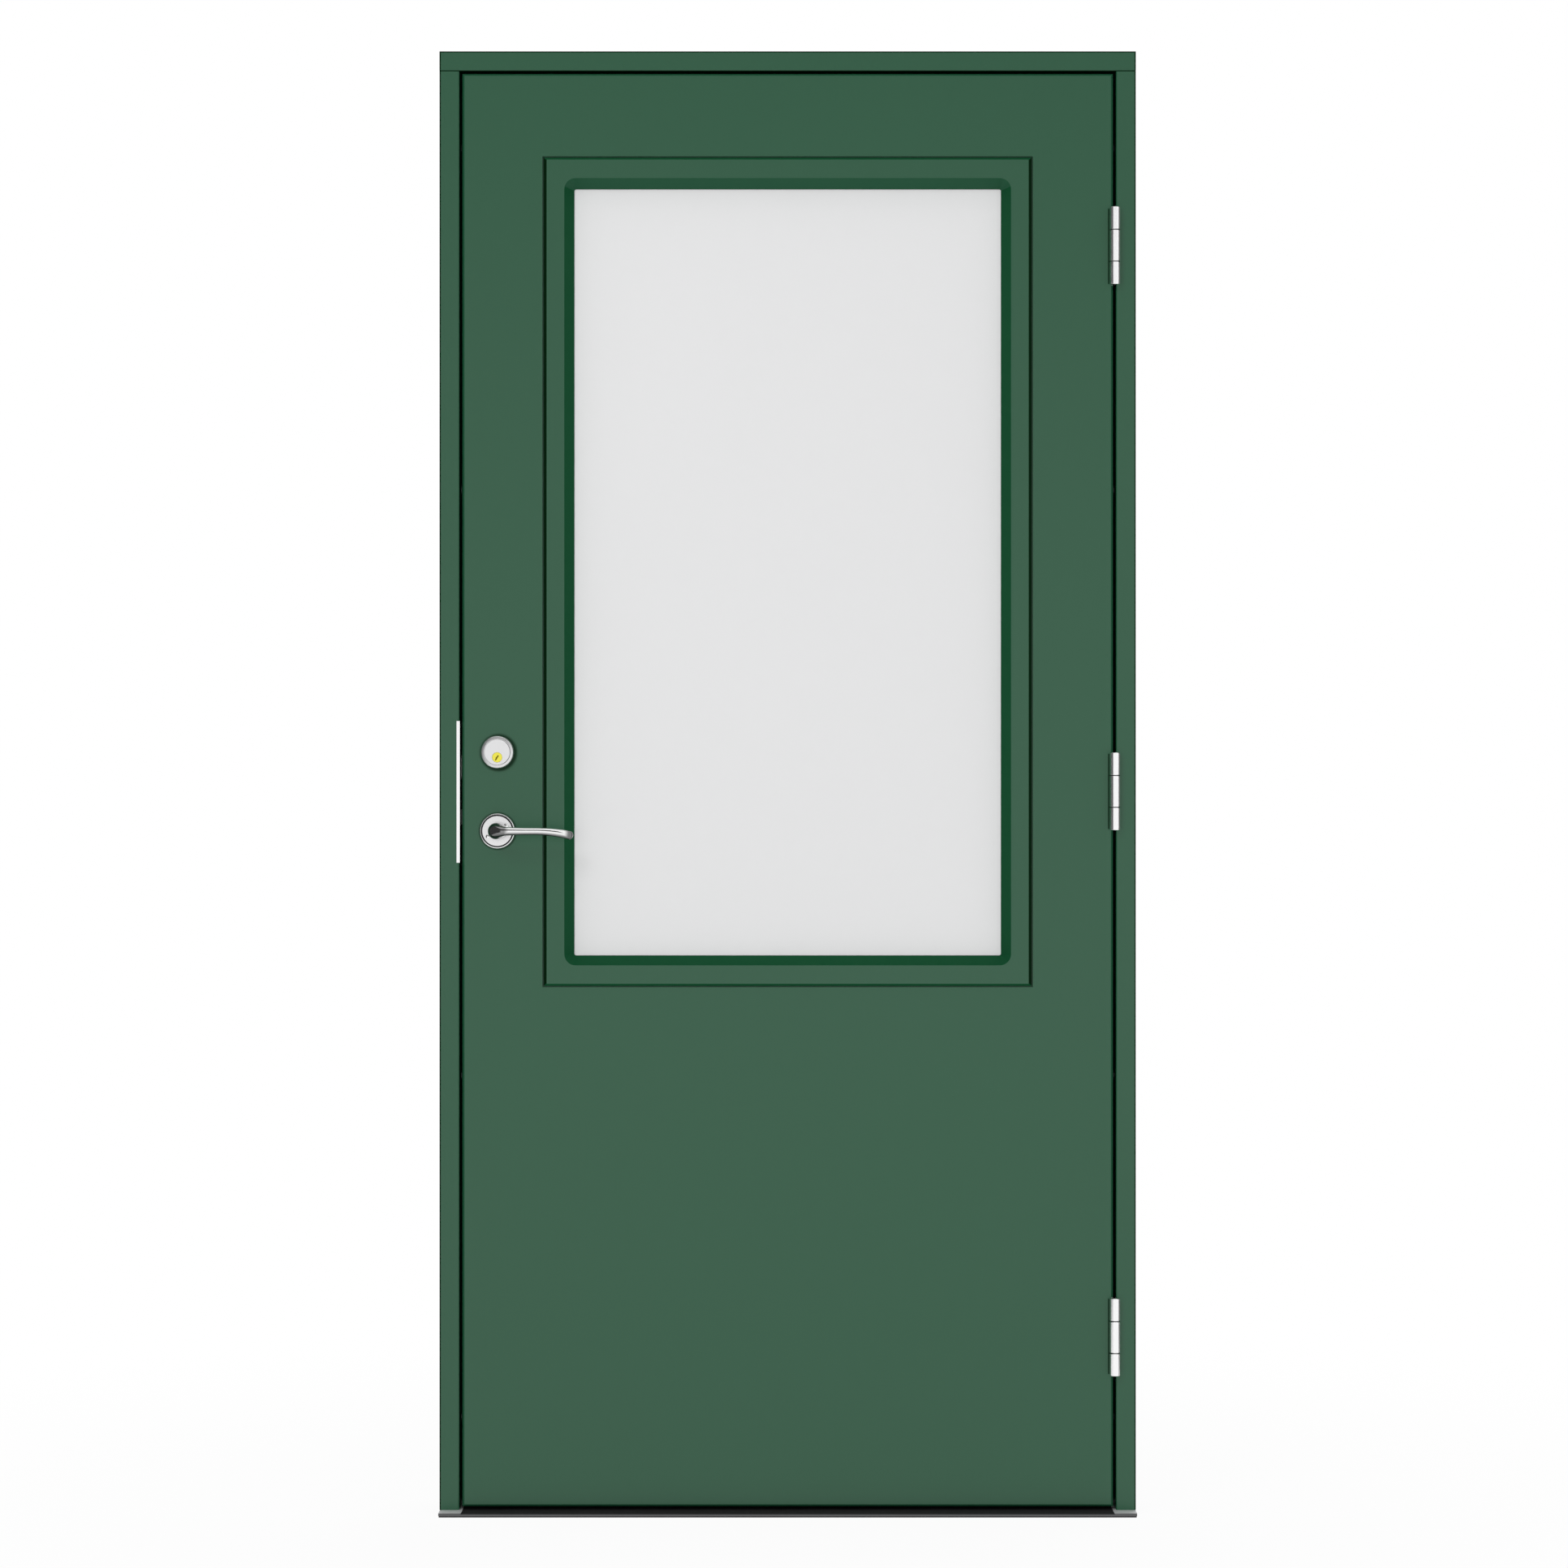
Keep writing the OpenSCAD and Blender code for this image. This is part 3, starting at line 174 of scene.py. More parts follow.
# One where a ray comes from the camera, a reflection or a clear pane
def seenRays(wire):
    rays = wire.node("ShaderNodeLightPath")
    others = [Wire(wire.tree, rays.socket.node.outputs[name]) for name in ("Is Glossy Ray", "Is Transmission Ray")]
    return rays.most(others[0]).most(others[1])


# Painted shade: a dark line along arrises, for an edge that turns away into shade, and a dark joint line at one height
def arrisShadeLine(wire, place, spec):
    x, y, z = axesOf(wire, place)
    line = (x.maths("ABSOLUTE") > spec["side"]).most(z > spec["top"]) * (y < spec["front"])
    if "joint" in spec:
        line = line.most((z - spec["joint"]).maths("ABSOLUTE") < spec["half"])
    return line


# Painted shadow: a dark ring on the face round a fitting, as the fitting's cast shadow
def paintedShadowRing(wire, place, spec):
    x, y, z = axesOf(wire, place)
    across, up = x - spec["centre"][0], z - spec["centre"][1]
    away = (across * across + up * up).maths("SQRT")
    ring = mapped(wire, away, spec["inner"], spec["outer"], spec["strength"], 0.0)
    return ring * (y < spec["front"])


# Painted shadow: a dark strip on the face beside the hinge knuckles
def hingeShadowStrip(wire, place, spec):
    x, y, z = axesOf(wire, place)
    beside = mapped(wire, x, spec["from"], spec["to"], 0.0, spec["strength"])
    level = (z - spec["mids"][0]).maths("ABSOLUTE") < spec["half"]
    for middle in spec["mids"][1:]:
        level = level.most((z - middle).maths("ABSOLUTE") < spec["half"])
    return beside * level * (y < spec["front"])


# the paint's dark matt tones, roughness and gloss are used for painted shade
paintLook = {"dark": (0.0085, 0.0755, 0.033), "light": (0.0105, 0.0835, 0.037), "rough": 0.34, "gloss": 0.60,
             "peel": 0.05, "peelScale": 620.0, "broadScale": 2.2, "grainScale": (260.0, 260.0, 9.0),
             "shadeTones": ((0.0010, 0.0120, 0.0030), (0.0016, 0.0165, 0.0042)), "shadeRough": 0.6, "shadeGloss": 0.05}


# Roller-coated paint with a slight peel, dull and dark where painted shade is laid on
def paintFinish(name, look):
    made, wire, shader = startFinish(name)
    place = wire.node("ShaderNodeTexCoord", out="Object")
    broad = noiseAt(wire, place, look["broadScale"], 3.0)
    peel = noiseAt(wire, place, look["peelScale"], 1.5)
    grain = noiseAt(wire, stretched(wire, place, look["grainScale"]), 1.0, 3.0)
    colour = (broad * 0.7 + grain * 0.3).mix(look["dark"], look["light"])
    shadeMarks = [shadeMark(wire, place, spec) for shadeMark, spec in look.get("shadeMarks", ())]
    if shadeMarks:
        shadeShader = wire.node("ShaderNodeBsdfPrincipled", {}, {
            "Base Color": grain.mix(*look["shadeTones"]), "Roughness": look["shadeRough"] + (broad - 0.5) * 0.1,
            "Specular IOR Level": look["shadeGloss"]})
        where = shadeMarks[0]
        for shadeMark in shadeMarks[1:]:
            where = where.most(shadeMark)
        showBlend(wire, where, Wire(wire.tree, shader.outputs[0]), shadeShader)
    setShader(wire, shader, {
        "Base Color": colour,
        "Roughness": look["rough"] + (peel - 0.5) * 0.10 + (broad - 0.5) * 0.06,
        "Specular IOR Level": look["gloss"],
        "Normal": bumpFrom(wire, peel * 0.8 + grain * 0.2, look["peel"], 0.0004),
    })
    return made


# a darker matt copy of the paint: painted shade on the glazing frames' slopes
shadedMattLook = {**paintLook, "dark": (0.0046, 0.0650, 0.0235), "light": (0.0060, 0.0715, 0.0265), "rough": 0.62,
            "gloss": 0.05}
semiLook = {**paintLook, "rough": 0.55, "gloss": 0.18}
glassLook = {"pale": (0.818, 0.819, 0.824), "paler": (0.838, 0.839, 0.844), "rough": 0.42, "grain": 0.12,
             "cloudScale": 3.0, "frostScale": 1500.0, "clear": 0.06, "bend": 1.5}


# Sand-blasted pane: pale, soft gloss, fine frost grain
def glassFinish(look):
    made, wire, shader = startFinish("frostedGlass")
    place = wire.node("ShaderNodeTexCoord", out="Object")
    cloud = noiseAt(wire, place, look["cloudScale"], 2.0)
    frost = noiseAt(wire, place, look["frostScale"], 2.0)
    setShader(wire, shader, {
        "Base Color": (cloud * 0.6 + frost * 0.4).mix(look["pale"], look["paler"]),
        "Roughness": look["rough"] + (frost - 0.5) * 0.14,
        "Transmission Weight": look["clear"],
        "IOR": look["bend"],
        "Normal": bumpFrom(wire, frost, look["grain"], 0.0002),
    })
    return made


# Metal with fine lines: brushed along one axis, or turned about a centre
def metalFinish(name, look, stretch=None, centre=None):
    made, wire, shader = startFinish(name)
    place = wire.node("ShaderNodeTexCoord", out="Object")
    if centre:
        x, y, z = axesOf(wire, place)
        across, up = x - centre[0], z - centre[1]
        radius = (across * across + up * up).maths("SQRT")
        lines = wire.node("ShaderNodeTexNoise", {"noise_dimensions": "1D"}, {
            "W": radius, "Scale": look["lines"], "Detail": 3.0})
    else:
        lines = noiseAt(wire, stretched(wire, place, stretch), 1.0, 3.0)
    cloud = noiseAt(wire, place, look["cloud"], 2.0)
    colour = (lines * 0.6 + cloud * 0.4).mix(look["dark"], look["light"])
    if "shadeTone" in look:  # painted shade and dark reflections, from the mesh's shade attribute
        shade = wire.node("ShaderNodeAttribute", {"attribute_name": "shade"}, out="Fac")
        colour = shade.mix(colour, look["shadeTone"])
    setShader(wire, shader, {
        "Base Color": colour,
        "Metallic": 1.0,
        "Roughness": look["rough"] + (lines - 0.5) * look["spread"] + (cloud - 0.5) * 0.05,
        "Normal": bumpFrom(wire, lines, look["depth"], 0.00015),
    })
    return made


rubberLook = {"dark": (0.006, 0.006, 0.0065), "light": (0.014, 0.014, 0.0145), "rough": 0.62, "gloss": 0.3,
              "speckScale": 900.0, "cloudScale": 25.0}


def rubberFinish(look):
    made, wire, shader = startFinish("blackRubber")
    place = wire.node("ShaderNodeTexCoord", out="Object")
    speck = noiseAt(wire, place, look["speckScale"], 2.0)
    cloud = noiseAt(wire, place, look["cloudScale"], 3.0)
    setShader(wire, shader, {
        "Base Color": (speck * 0.4 + cloud * 0.6).mix(look["dark"], look["light"]),
        "Roughness": look["rough"] + (cloud - 0.5) * 0.2,
        "Specular IOR Level": look["gloss"],
        "Normal": bumpFrom(wire, speck, 0.15, 0.0002),
    })
    return made


timberLook = {"dark": (0.36, 0.23, 0.12), "light": (0.55, 0.38, 0.22), "grainScale": (120.0, 120.0, 5.0), "rough": 0.62,
              "coatRough": 0.38, "edgeX": 0.4619, "top": 2.0474, "foot": 0.0116, "middleY": 0.030, "skinY": 0.0236}


# Pine inside the leaf, painted where its edges show
def timberFinish(look, paint):
    made, wire, shader = startFinish("paintedPine")
    place = wire.node("ShaderNodeTexCoord", out="Object")
    x, y, z = axesOf(wire, place)
    grain = noiseAt(wire, stretched(wire, place, look["grainScale"]), 1.0, 4.0, 0.6)
    painted = (x.maths("ABSOLUTE") > look["edgeX"]).most(z > look["top"]).most(z < look["foot"])
    painted = painted.most((y - look["middleY"]).maths("ABSOLUTE") > look["skinY"])
    wood = grain.mix(look["dark"], look["light"])
    coat = grain.mix(paint["dark"], paint["light"])
    setShader(wire, shader, {
        "Base Color": painted.mix(wood, coat),
        "Roughness": look["rough"] - painted * (look["rough"] - look["coatRough"]) + (grain - 0.5) * 0.1,
        "Normal": bumpFrom(wire, grain, 0.10, 0.0004),
    })
    return made


foamLook = {"dark": (0.62, 0.55, 0.38), "light": (0.80, 0.74, 0.56), "rough": 0.85, "cellScale": 420.0}


def foamFinish(look):
    made, wire, shader = startFinish("insulationFoam")
    place = wire.node("ShaderNodeTexCoord", out="Object")
    cells = wire.node("ShaderNodeTexVoronoi", {}, {"Vector": place, "Scale": look["cellScale"]})
    setShader(wire, shader, {
        "Base Color": cells.mix(look["dark"], look["light"]),
        "Roughness": look["rough"] - cells * 0.1,
        "Normal": bumpFrom(wire, cells, 0.3, 0.0005),
    })
    return made


sillLook = {"front": ((0.088, 0.088, 0.090), (0.118, 0.118, 0.121)), "top": ((0.68, 0.68, 0.69), (0.80, 0.80, 0.81)),
            "edge": 0.00585, "fade": 0.0001, "rough": 0.5, "metal": 0.3, "lineScale": (6.0, 700.0, 700.0),
            "lipDark": (0.008, 0.008, 0.0085), "lipDarkFrom": 0.0043, "lipDarkFront": -0.0265,
            "lipDarkSide": float(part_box("threshold_tread")[1][0]) + 0.0005}


# Matt anodised threshold: a much lighter top and a darker front, as painted light and painted shade, with near-black
# along the lip before the tread
def sillFinish(look):
    made, wire, shader = startFinish("mattAluminium")
    place = wire.node("ShaderNodeTexCoord", out="Object")
    x, y, z = axesOf(wire, place)
    lines = noiseAt(wire, stretched(wire, place, look["lineScale"]), 1.0, 3.0)
    # near-black along the lip in front of the tread, across the leaf's width
    lipDark = (x.maths("ABSOLUTE") < look["lipDarkSide"]) * (y < look["lipDarkFront"]) * (z > look["lipDarkFrom"])
    # top lighter, front darker, switched at the lip's edge: painted light and painted shade
    litTop = mapped(wire, z, look["edge"], look["edge"] + look["fade"], kind="LINEAR")
    litAndShaded = litTop.mix(lines.mix(*look["front"]), lines.mix(*look["top"]))
    setShader(wire, shader, {
        "Base Color": lipDark.mix(litAndShaded, look["lipDark"]),
        "Metallic": look["metal"],
        "Roughness": look["rough"] + (lines - 0.5) * 0.2,
        "Normal": bumpFrom(wire, lines, 0.08, 0.00015),
    })
    return made


# Middle of a fitting on the leaf's face, as (x, z)
def faceCentre(held):
    low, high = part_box(held)
    return (low[0] + high[0]) / 2, (low[2] + high[2]) / 2


leafThick = 0.060
roseCentre = faceCentre("outer_rose")
ringCentre = faceCentre("cylinder_ring")
turnCentre = faceCentre("thumbturn_rose")

satinLook = {"dark": (0.74, 0.74, 0.745), "light": (0.84, 0.84, 0.845), "rough": 0.24, "spread": 0.16, "depth": 0.05,
             "lines": 2600.0, "cloud": 40.0}
polishedLook = {"dark": (0.91, 0.91, 0.91), "light": (0.98, 0.98, 0.98), "rough": 0.20, "spread": 0.08, "depth": 0.02,
                "lines": 2600.0, "cloud": 30.0}
# the lever's shadeTone is the colour of its painted shade
leverLook = {"dark": (0.86, 0.86, 0.86), "light": (0.93, 0.93, 0.93), "rough": 0.12, "spread": 0.06, "depth": 0.015,
             "lines": 2600.0, "cloud": 30.0, "shadeTone": (0.055, 0.056, 0.058)}
zincLook = {"dark": (0.36, 0.37, 0.39), "light": (0.50, 0.51, 0.53), "rough": 0.36, "spread": 0.14, "depth": 0.05,
            "lines": 1500.0, "cloud": 60.0}
aluLook = {"dark": (0.42, 0.42, 0.43), "light": (0.56, 0.56, 0.57), "rough": 0.38, "spread": 0.20, "depth": 0.08,
           "lines": 1500.0, "cloud": 8.0}
brassLook = {"dark": (0.84, 0.75, 0.07), "light": (0.97, 0.91, 0.14), "rough": 0.26, "spread": 0.14, "depth": 0.05,
             "lines": 2600.0, "cloud": 60.0}

finishes = {
    "paint": paintFinish("greenPaint", paintLook),
    "glass": glassFinish(glassLook),
    "steel": metalFinish("satinSteel", satinLook, (300.0, 300.0, 20.0)),
    "polished": metalFinish("polishedSteel", polishedLook, (420.0, 420.0, 12.0)),
    "zinc": metalFinish("zincPlate", zincLook, (200.0, 200.0, 200.0)),
    "alu": metalFinish("brushedAluminium", aluLook, (6.0, 700.0, 700.0)),
    "brass": metalFinish("plugBrass", brassLook, (900.0, 900.0, 60.0)),
    "rubber": rubberFinish(rubberLook),
    "timber": timberFinish(timberLook, paintLook),
    "foam": foamFinish(foamLook),
}
roseFinish = metalFinish("turnedRose", satinLook, centre=roseCentre)
ringFinish = metalFinish("turnedRing", {**satinLook, "rough": 0.42}, centre=ringCentre)
turnFinish = metalFinish("turnedThumbRose", satinLook, centre=turnCentre)
shadedMattPaint = paintFinish("shadedMattGreenPaint", shadedMattLook)
semiPaint = paintFinish("semiMattGreenPaint", semiLook)
faceDepth = 0.002  # painted shade on the outer face ends this far in
nowhere = 9.0
# painted shade along the frame's outer arrises, plus the dark head-to-jamb joint; painted shade along the glazing
# frame's upright edges
frameShadeAndJointLine = {"side": 0.4932, "top": 2.0782, "front": 0.0018, "joint": 2.052, "half": 0.0007}
glazingShadeLine = {"side": 0.3425, "top": nowhere, "front": nowhere}
# painted shadows round the lock ring and the rose, centred a little right of and below each, as if cast from the upper
# left
ringShadow = {"centre": (ringCentre[0] + 0.0016, ringCentre[1] - 0.0008), "inner": 0.0238, "outer": 0.0290,
             "strength": 0.85, "front": faceDepth}
roseShadow = {"centre": (roseCentre[0] + 0.0003, roseCentre[1] - 0.0003), "inner": 0.0255, "outer": 0.0280,
             "strength": 0.7, "front": faceDepth}
hingeMids = [float(faceCentre(level + "_hinge_frame_plate")[1]) for level in ("bottom", "middle", "top")]
# painted shadow of each hinge knuckle on the leaf's face
hingeShadow = {"from": 0.4547, "to": 0.4562, "mids": hingeMids, "half": 0.0535, "strength": 0.85, "front": faceDepth}
framePaint = paintFinish("frameGreenPaint", {**paintLook, "shadeMarks": [(arrisShadeLine, frameShadeAndJointLine)]})
glazingPaint = paintFinish("glazingGreenPaint", {**paintLook, "shadeMarks": [(arrisShadeLine, glazingShadeLine)]})
facePaint = paintFinish("faceGreenPaint", {**paintLook, "shadeMarks": [
    (paintedShadowRing, ringShadow), (paintedShadowRing, roseShadow), (hingeShadowStrip, hingeShadow)]})
leverFinish = metalFinish("leverSteel", leverLook, (30.0, 420.0, 420.0))
boltLook = {"dark": (0.045, 0.046, 0.048), "light": (0.075, 0.076, 0.078), "rough": 0.42, "spread": 0.14, "depth": 0.05,
            "lines": 1500.0, "cloud": 60.0}
boltAndShadeFinish = metalFinish("blackenedSteel", boltLook, (300.0, 300.0, 40.0))
for name, held in nodes.items():
    held.data.materials.clear()
    held.data.materials.append(finishes[slotOf[name]])
print("finishes made:", len(bpy.data.materials))


def linkPiece(name, mesh, finish):
    mesh.materials.clear()
    mesh.materials.append(finish)
    piece = bpy.data.objects.new(name, mesh)
    scene.collection.objects.link(piece)
    return piece


def hang(piece, *held):
    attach(piece, bodyOf[held[0]])
    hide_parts(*held)
    return piece


def meshFrom(bm, name, angle=35):
    bmesh.ops.recalc_face_normals(bm, faces=bm.faces)
    mesh = bpy.data.meshes.new(name)
    bm.to_mesh(mesh)
    bm.free()
    for layer in [a for a in mesh.attributes if a.name in ("custom_normal", "sharp_face", "sharp_edge")]:
        mesh.attributes.remove(layer)
    mesh.shade_smooth()
    mesh.set_sharp_from_angle(angle=math.radians(angle))
    return mesh


edgeSpec = {"angle": 30, "segments": 2, "merge": 2e-6, "flat": 0.3}


def softenEdges(piece, width):
    bevel = piece.modifiers.new("softEdges", "BEVEL")
    bevel.width = width
    bevel.segments = edgeSpec["segments"]
    bevel.limit_method = "ANGLE"
    bevel.angle_limit = math.radians(edgeSpec["angle"])
    bevel.harden_normals = True
    bevel.use_clamp_overlap = True


# A node's own solid, merged, smoothed and given soft edges
def dress(held, title, width, finish=None):
    bm = bmesh.new()
    bm.from_mesh(nodes[held].data)
    bmesh.ops.remove_doubles(bm, verts=bm.verts, dist=edgeSpec["merge"])
    bmesh.ops.dissolve_limit(bm, angle_limit=math.radians(edgeSpec["flat"]), verts=bm.verts, edges=bm.edges)
    piece = linkPiece(title, meshFrom(bm, title), finish or finishes[slotOf[held]])
    if width:
        softenEdges(piece, width)
    return hang(piece, held)


dressed = {
    "frame_head": ("headPiece", 0.0005), "lock_jamb": ("lockJamb", 0.0005), "hinge_jamb": ("hingeJamb", 0.0005),
    "threshold": ("thresholdBar", 0.0003), "sill_gasket": ("sillGasket", 0.0003),
    "frame_seal": ("frameSeal", 0), "threshold_seal": ("thresholdSeal", 0), "strike_plate": ("strikePlate", 0.0003),
    "frame_sleeves": ("fixingSleeves", 0.0003), "top_hinge_frame_plate": ("topHingeFrameHalf", 0.0003),
    "middle_hinge_frame_plate": ("middleHingeFrameHalf", 0.0003),
    "bottom_hinge_frame_plate": ("bottomHingeFrameHalf", 0.0003), "hinge_pins": ("hingePins", 0.0004),
    "hinge_washers": ("hingeWashers", 0.0002), "outer_skin": ("outerFace", 0.0006), "inner_skin": ("innerFace", 0.0006),
    "outer_glazing_frame": ("outerGlazingFrame", 0.0005), "inner_glazing_frame": ("innerGlazingFrame", 0.0005),
    "outer_pane": ("outerPane", 0.0004), "inner_pane": ("innerPane", 0.0004), "lock_forend": ("lockForend", 0.0003),
    "cylinder_body": ("cylinderBody", 0.0003), "rose_bolts": ("roseBolts", 0), "thumbturn": ("thumbturnGrip", 0.0004),
    "top_hinge_leaf_plate": ("topHingeLeafHalf", 0.0003), "middle_hinge_leaf_plate": ("middleHingeLeafHalf", 0.0003),
    "bottom_hinge_leaf_plate": ("bottomHingeLeafHalf", 0.0003), "cylinder_plug": ("cylinderPlug", 0.0002),
}
# hinge washers in the blackened steel, so the gaps between knuckles read as painted shade
ownFinish = {"threshold": sillFinish(sillLook), "frame_head": framePaint, "lock_jamb": framePaint,
             "hinge_jamb": framePaint, "outer_skin": facePaint, "outer_glazing_frame": glazingPaint,
             "inner_glazing_frame": glazingPaint, "hinge_washers": boltAndShadeFinish}
for held, (title, width) in dressed.items():
    dress(held, title, width, ownFinish.get(held))
# glazing frames: slopes in the darker matt paint as painted shade, a glossier one above the pane, and near-black
# painted shade on the arrises along the two upright outer edges
sideShadeLook = {**shadedMattLook, "dark": paintLook["shadeTones"][0], "light": paintLook["shadeTones"][1]}
sideShadePaint = paintFinish("jointGreenPaint", sideShadeLook)
glazingSpec = {"jointReach": 0.0034, "jointTurn": 0.4, "slope": (0.2, 0.95), "down": -0.2, "aboveReach": 0.2}
for held in ("outer_glazing_frame", "inner_glazing_frame"):
    piece = bpy.data.objects[dressed[held][0]]
    piece.data.materials.append(shadedMattPaint)
    piece.data.materials.append(sideShadePaint)
    piece.data.materials.append(semiPaint)
    edge, top = (float(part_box(held)[1][axis]) for axis in (0, 2))
    for face in piece.data.polygons:
        upright = abs(face.normal.x) > glazingSpec["jointTurn"]
        above = face.normal.z < glazingSpec["down"] and face.center.z > top - glazingSpec["aboveReach"]
        # near-black painted shade on the side-facing arrises of the upright edges
        if upright and abs(face.center.x) > edge - glazingSpec["jointReach"]:
            face.material_index = 2
        elif glazingSpec["slope"][0] < abs(face.normal.y) < glazingSpec["slope"][1]:
            face.material_index = 3 if above else 1
# the latch spring, which the bolt presses against the back of the case, is dressed and given its own mesh
low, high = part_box("latch_spring")
coil = dress("latch_spring", "latchSpring", 0)
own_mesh(coil)
dress("latch_bolt", "latchBolt", 0.0004, boltAndShadeFinish)
dress("dead_bolt", "deadBolt", 0.0004, boltAndShadeFinish)
print("solids dressed:", len(dressed))


# A closed section turned about an axis that runs along Y, out from a face to one side
def turnInto(bm, section, centre, face, side, steps):
    rings = []
    for k in range(steps):
        a = 2 * math.pi * k / steps
        rings.append([bm.verts.new((centre[0] + r * math.cos(a), face + side * h, centre[1] + r * math.sin(a)))
                      for r, h in section])
    count = len(section)
    for k in range(steps):
        ring, following = rings[k], rings[(k + 1) % steps]
        for i in range(count):
            j = (i + 1) % count
            bm.faces.new((ring[i], ring[j], following[j], following[i]))


turnSteps = {"fitting": 160, "journal": 96}


def turnedPiece(title, section, centre, face, side, finish, held):
    bm = bmesh.new()
    turnInto(bm, section, centre, face, side, turnSteps["fitting"])
    return hang(linkPiece(title, meshFrom(bm, title, 28), finish), held)


# Rounds the corners of a closed section, each by its own radius
def roundedSection(points, steps=4):
    made = []
    for i, (r, h, bend) in enumerate(points):
        here = Vector((r, h))
        before = Vector(points[i - 1][:2]) - here
        after = Vector(points[(i + 1) % len(points)][:2]) - here
        if not bend:
            made.append((r, h))
            continue
        cut = min(bend, before.length * 0.45, after.length * 0.45)
        start = here + before.normalized() * cut
        end = here + after.normalized() * cut
        for k in range(steps + 1):
            t = k / steps
            spot = start * (1 - t) ** 2 + here * 2 * t * (1 - t) + end * t ** 2
            made.append((spot.x, spot.y))
    return made


# sections as (radius, height, corner radius)
roseSpec = {"radius": 0.0255, "height": 0.008, "bore": 0.00808, "groove": (0.0025, 0.0040), "grooveEdge": 0.0001}
r, h, b = roseSpec["radius"], roseSpec["height"], roseSpec["bore"]
rim, cover = (r - inset for inset in roseSpec["groove"])
roseSection = roundedSection([
    (b, 0, 0), (r, 0, 0), (r, h * 0.52, 0.0006), (r - 0.0010, h * 0.80, 0.0008), (r - 0.0023, h * 0.84, 0.0003),
    (rim, h * 0.5, 0), (cover, h * 0.5, 0), (r - 0.0042, h, 0.0004), (b, h, 0.0002)])
for title, face, side, held in (("outerRose", 0.0, -1, "outer_rose"), ("innerRose", leafThick, 1, "inner_rose")):
    rose = turnedPiece(title, roseSection, roseCentre, face, side, roseFinish, held)
    rose.data.materials.append(boltAndShadeFinish)  # blackened steel in the groove between the cover and its rim, as painted shade
    for part in rose.data.polygons:
        spot = part.center
        away = math.hypot(spot.x - roseCentre[0], spot.z - roseCentre[1])
        inGroove = cover - roseSpec["grooveEdge"] < away < rim + roseSpec["grooveEdge"]
        if inGroove and abs(spot.y - face) < h * 0.8:
            part.material_index = 1

ringSpec = {"radius": 0.02325, "height": 0.009, "bore": 0.01835}
r, h, b = ringSpec["radius"], ringSpec["height"], ringSpec["bore"]
ringSection = roundedSection([
    (b, 0, 0), (r, 0, 0), (r, h * 0.62, 0.0010), (r - 0.0009, h * 0.88, 0.0008), (b + 0.0006, h, 0.0003),
    (b, h - 0.0004, 0.0001)])
turnedPiece("cylinderRing", ringSection, ringCentre, 0.0, -1, ringFinish, "cylinder_ring")

turnSpec = {"radius": 0.026, "height": 0.008, "bore": 0.0073, "wall": 0.003}
r, h, b, wall = (turnSpec[key] for key in ("radius", "height", "bore", "wall"))
turnSection = roundedSection([
    (b, h - wall, 0), (r - wall, h - wall, 0), (r - wall, 0, 0), (r, 0, 0), (r, h * 0.55, 0.0012),
    (r - 0.0022, h, 0.0010), (b, h, 0.0002)])
turnedPiece("thumbturnRose", turnSection, turnCentre, leafThick, 1, turnFinish, "thumbturn_rose")
print("turned pieces made")


leverSpec = {"reach": 0.109, "out": 0.050, "bend": 0.017, "neckStart": 0.0086, "drop": 0.007, "back": 0.012,
             "nose": 0.005, "neck": 0.0116, "halfHigh": 0.0058, "halfThick": 0.00497, "waist": 0.0006, "flare": 0.0003,
             "tipThick": 0.0004, "bowFrom": 0.52, "sides": 56, "stations": 120, "noseShare": 0.14, "noseCrowd": 1.8,
             "bore": 0.0041, "collar": (0.0117, 0.0086, 0.0116), "journal": (0.008, 0.0005, 0.0090),
             "dimRoot": (0.012, 0.020), "dimNeck": (0.76, 0.20), "dimUnder": 0.84, "dimBelow": (0.05, 0.70),
             "dimTip": (0.014, 0.007), "dimNose": 0.84, "dimRim": 0.0022, "rimHighlight": 0.7}


def ease(a, b, x):
    t = max(0.0, min(1.0, (x - a) / (b - a)))
    return t * t * (3 - 2 * t)


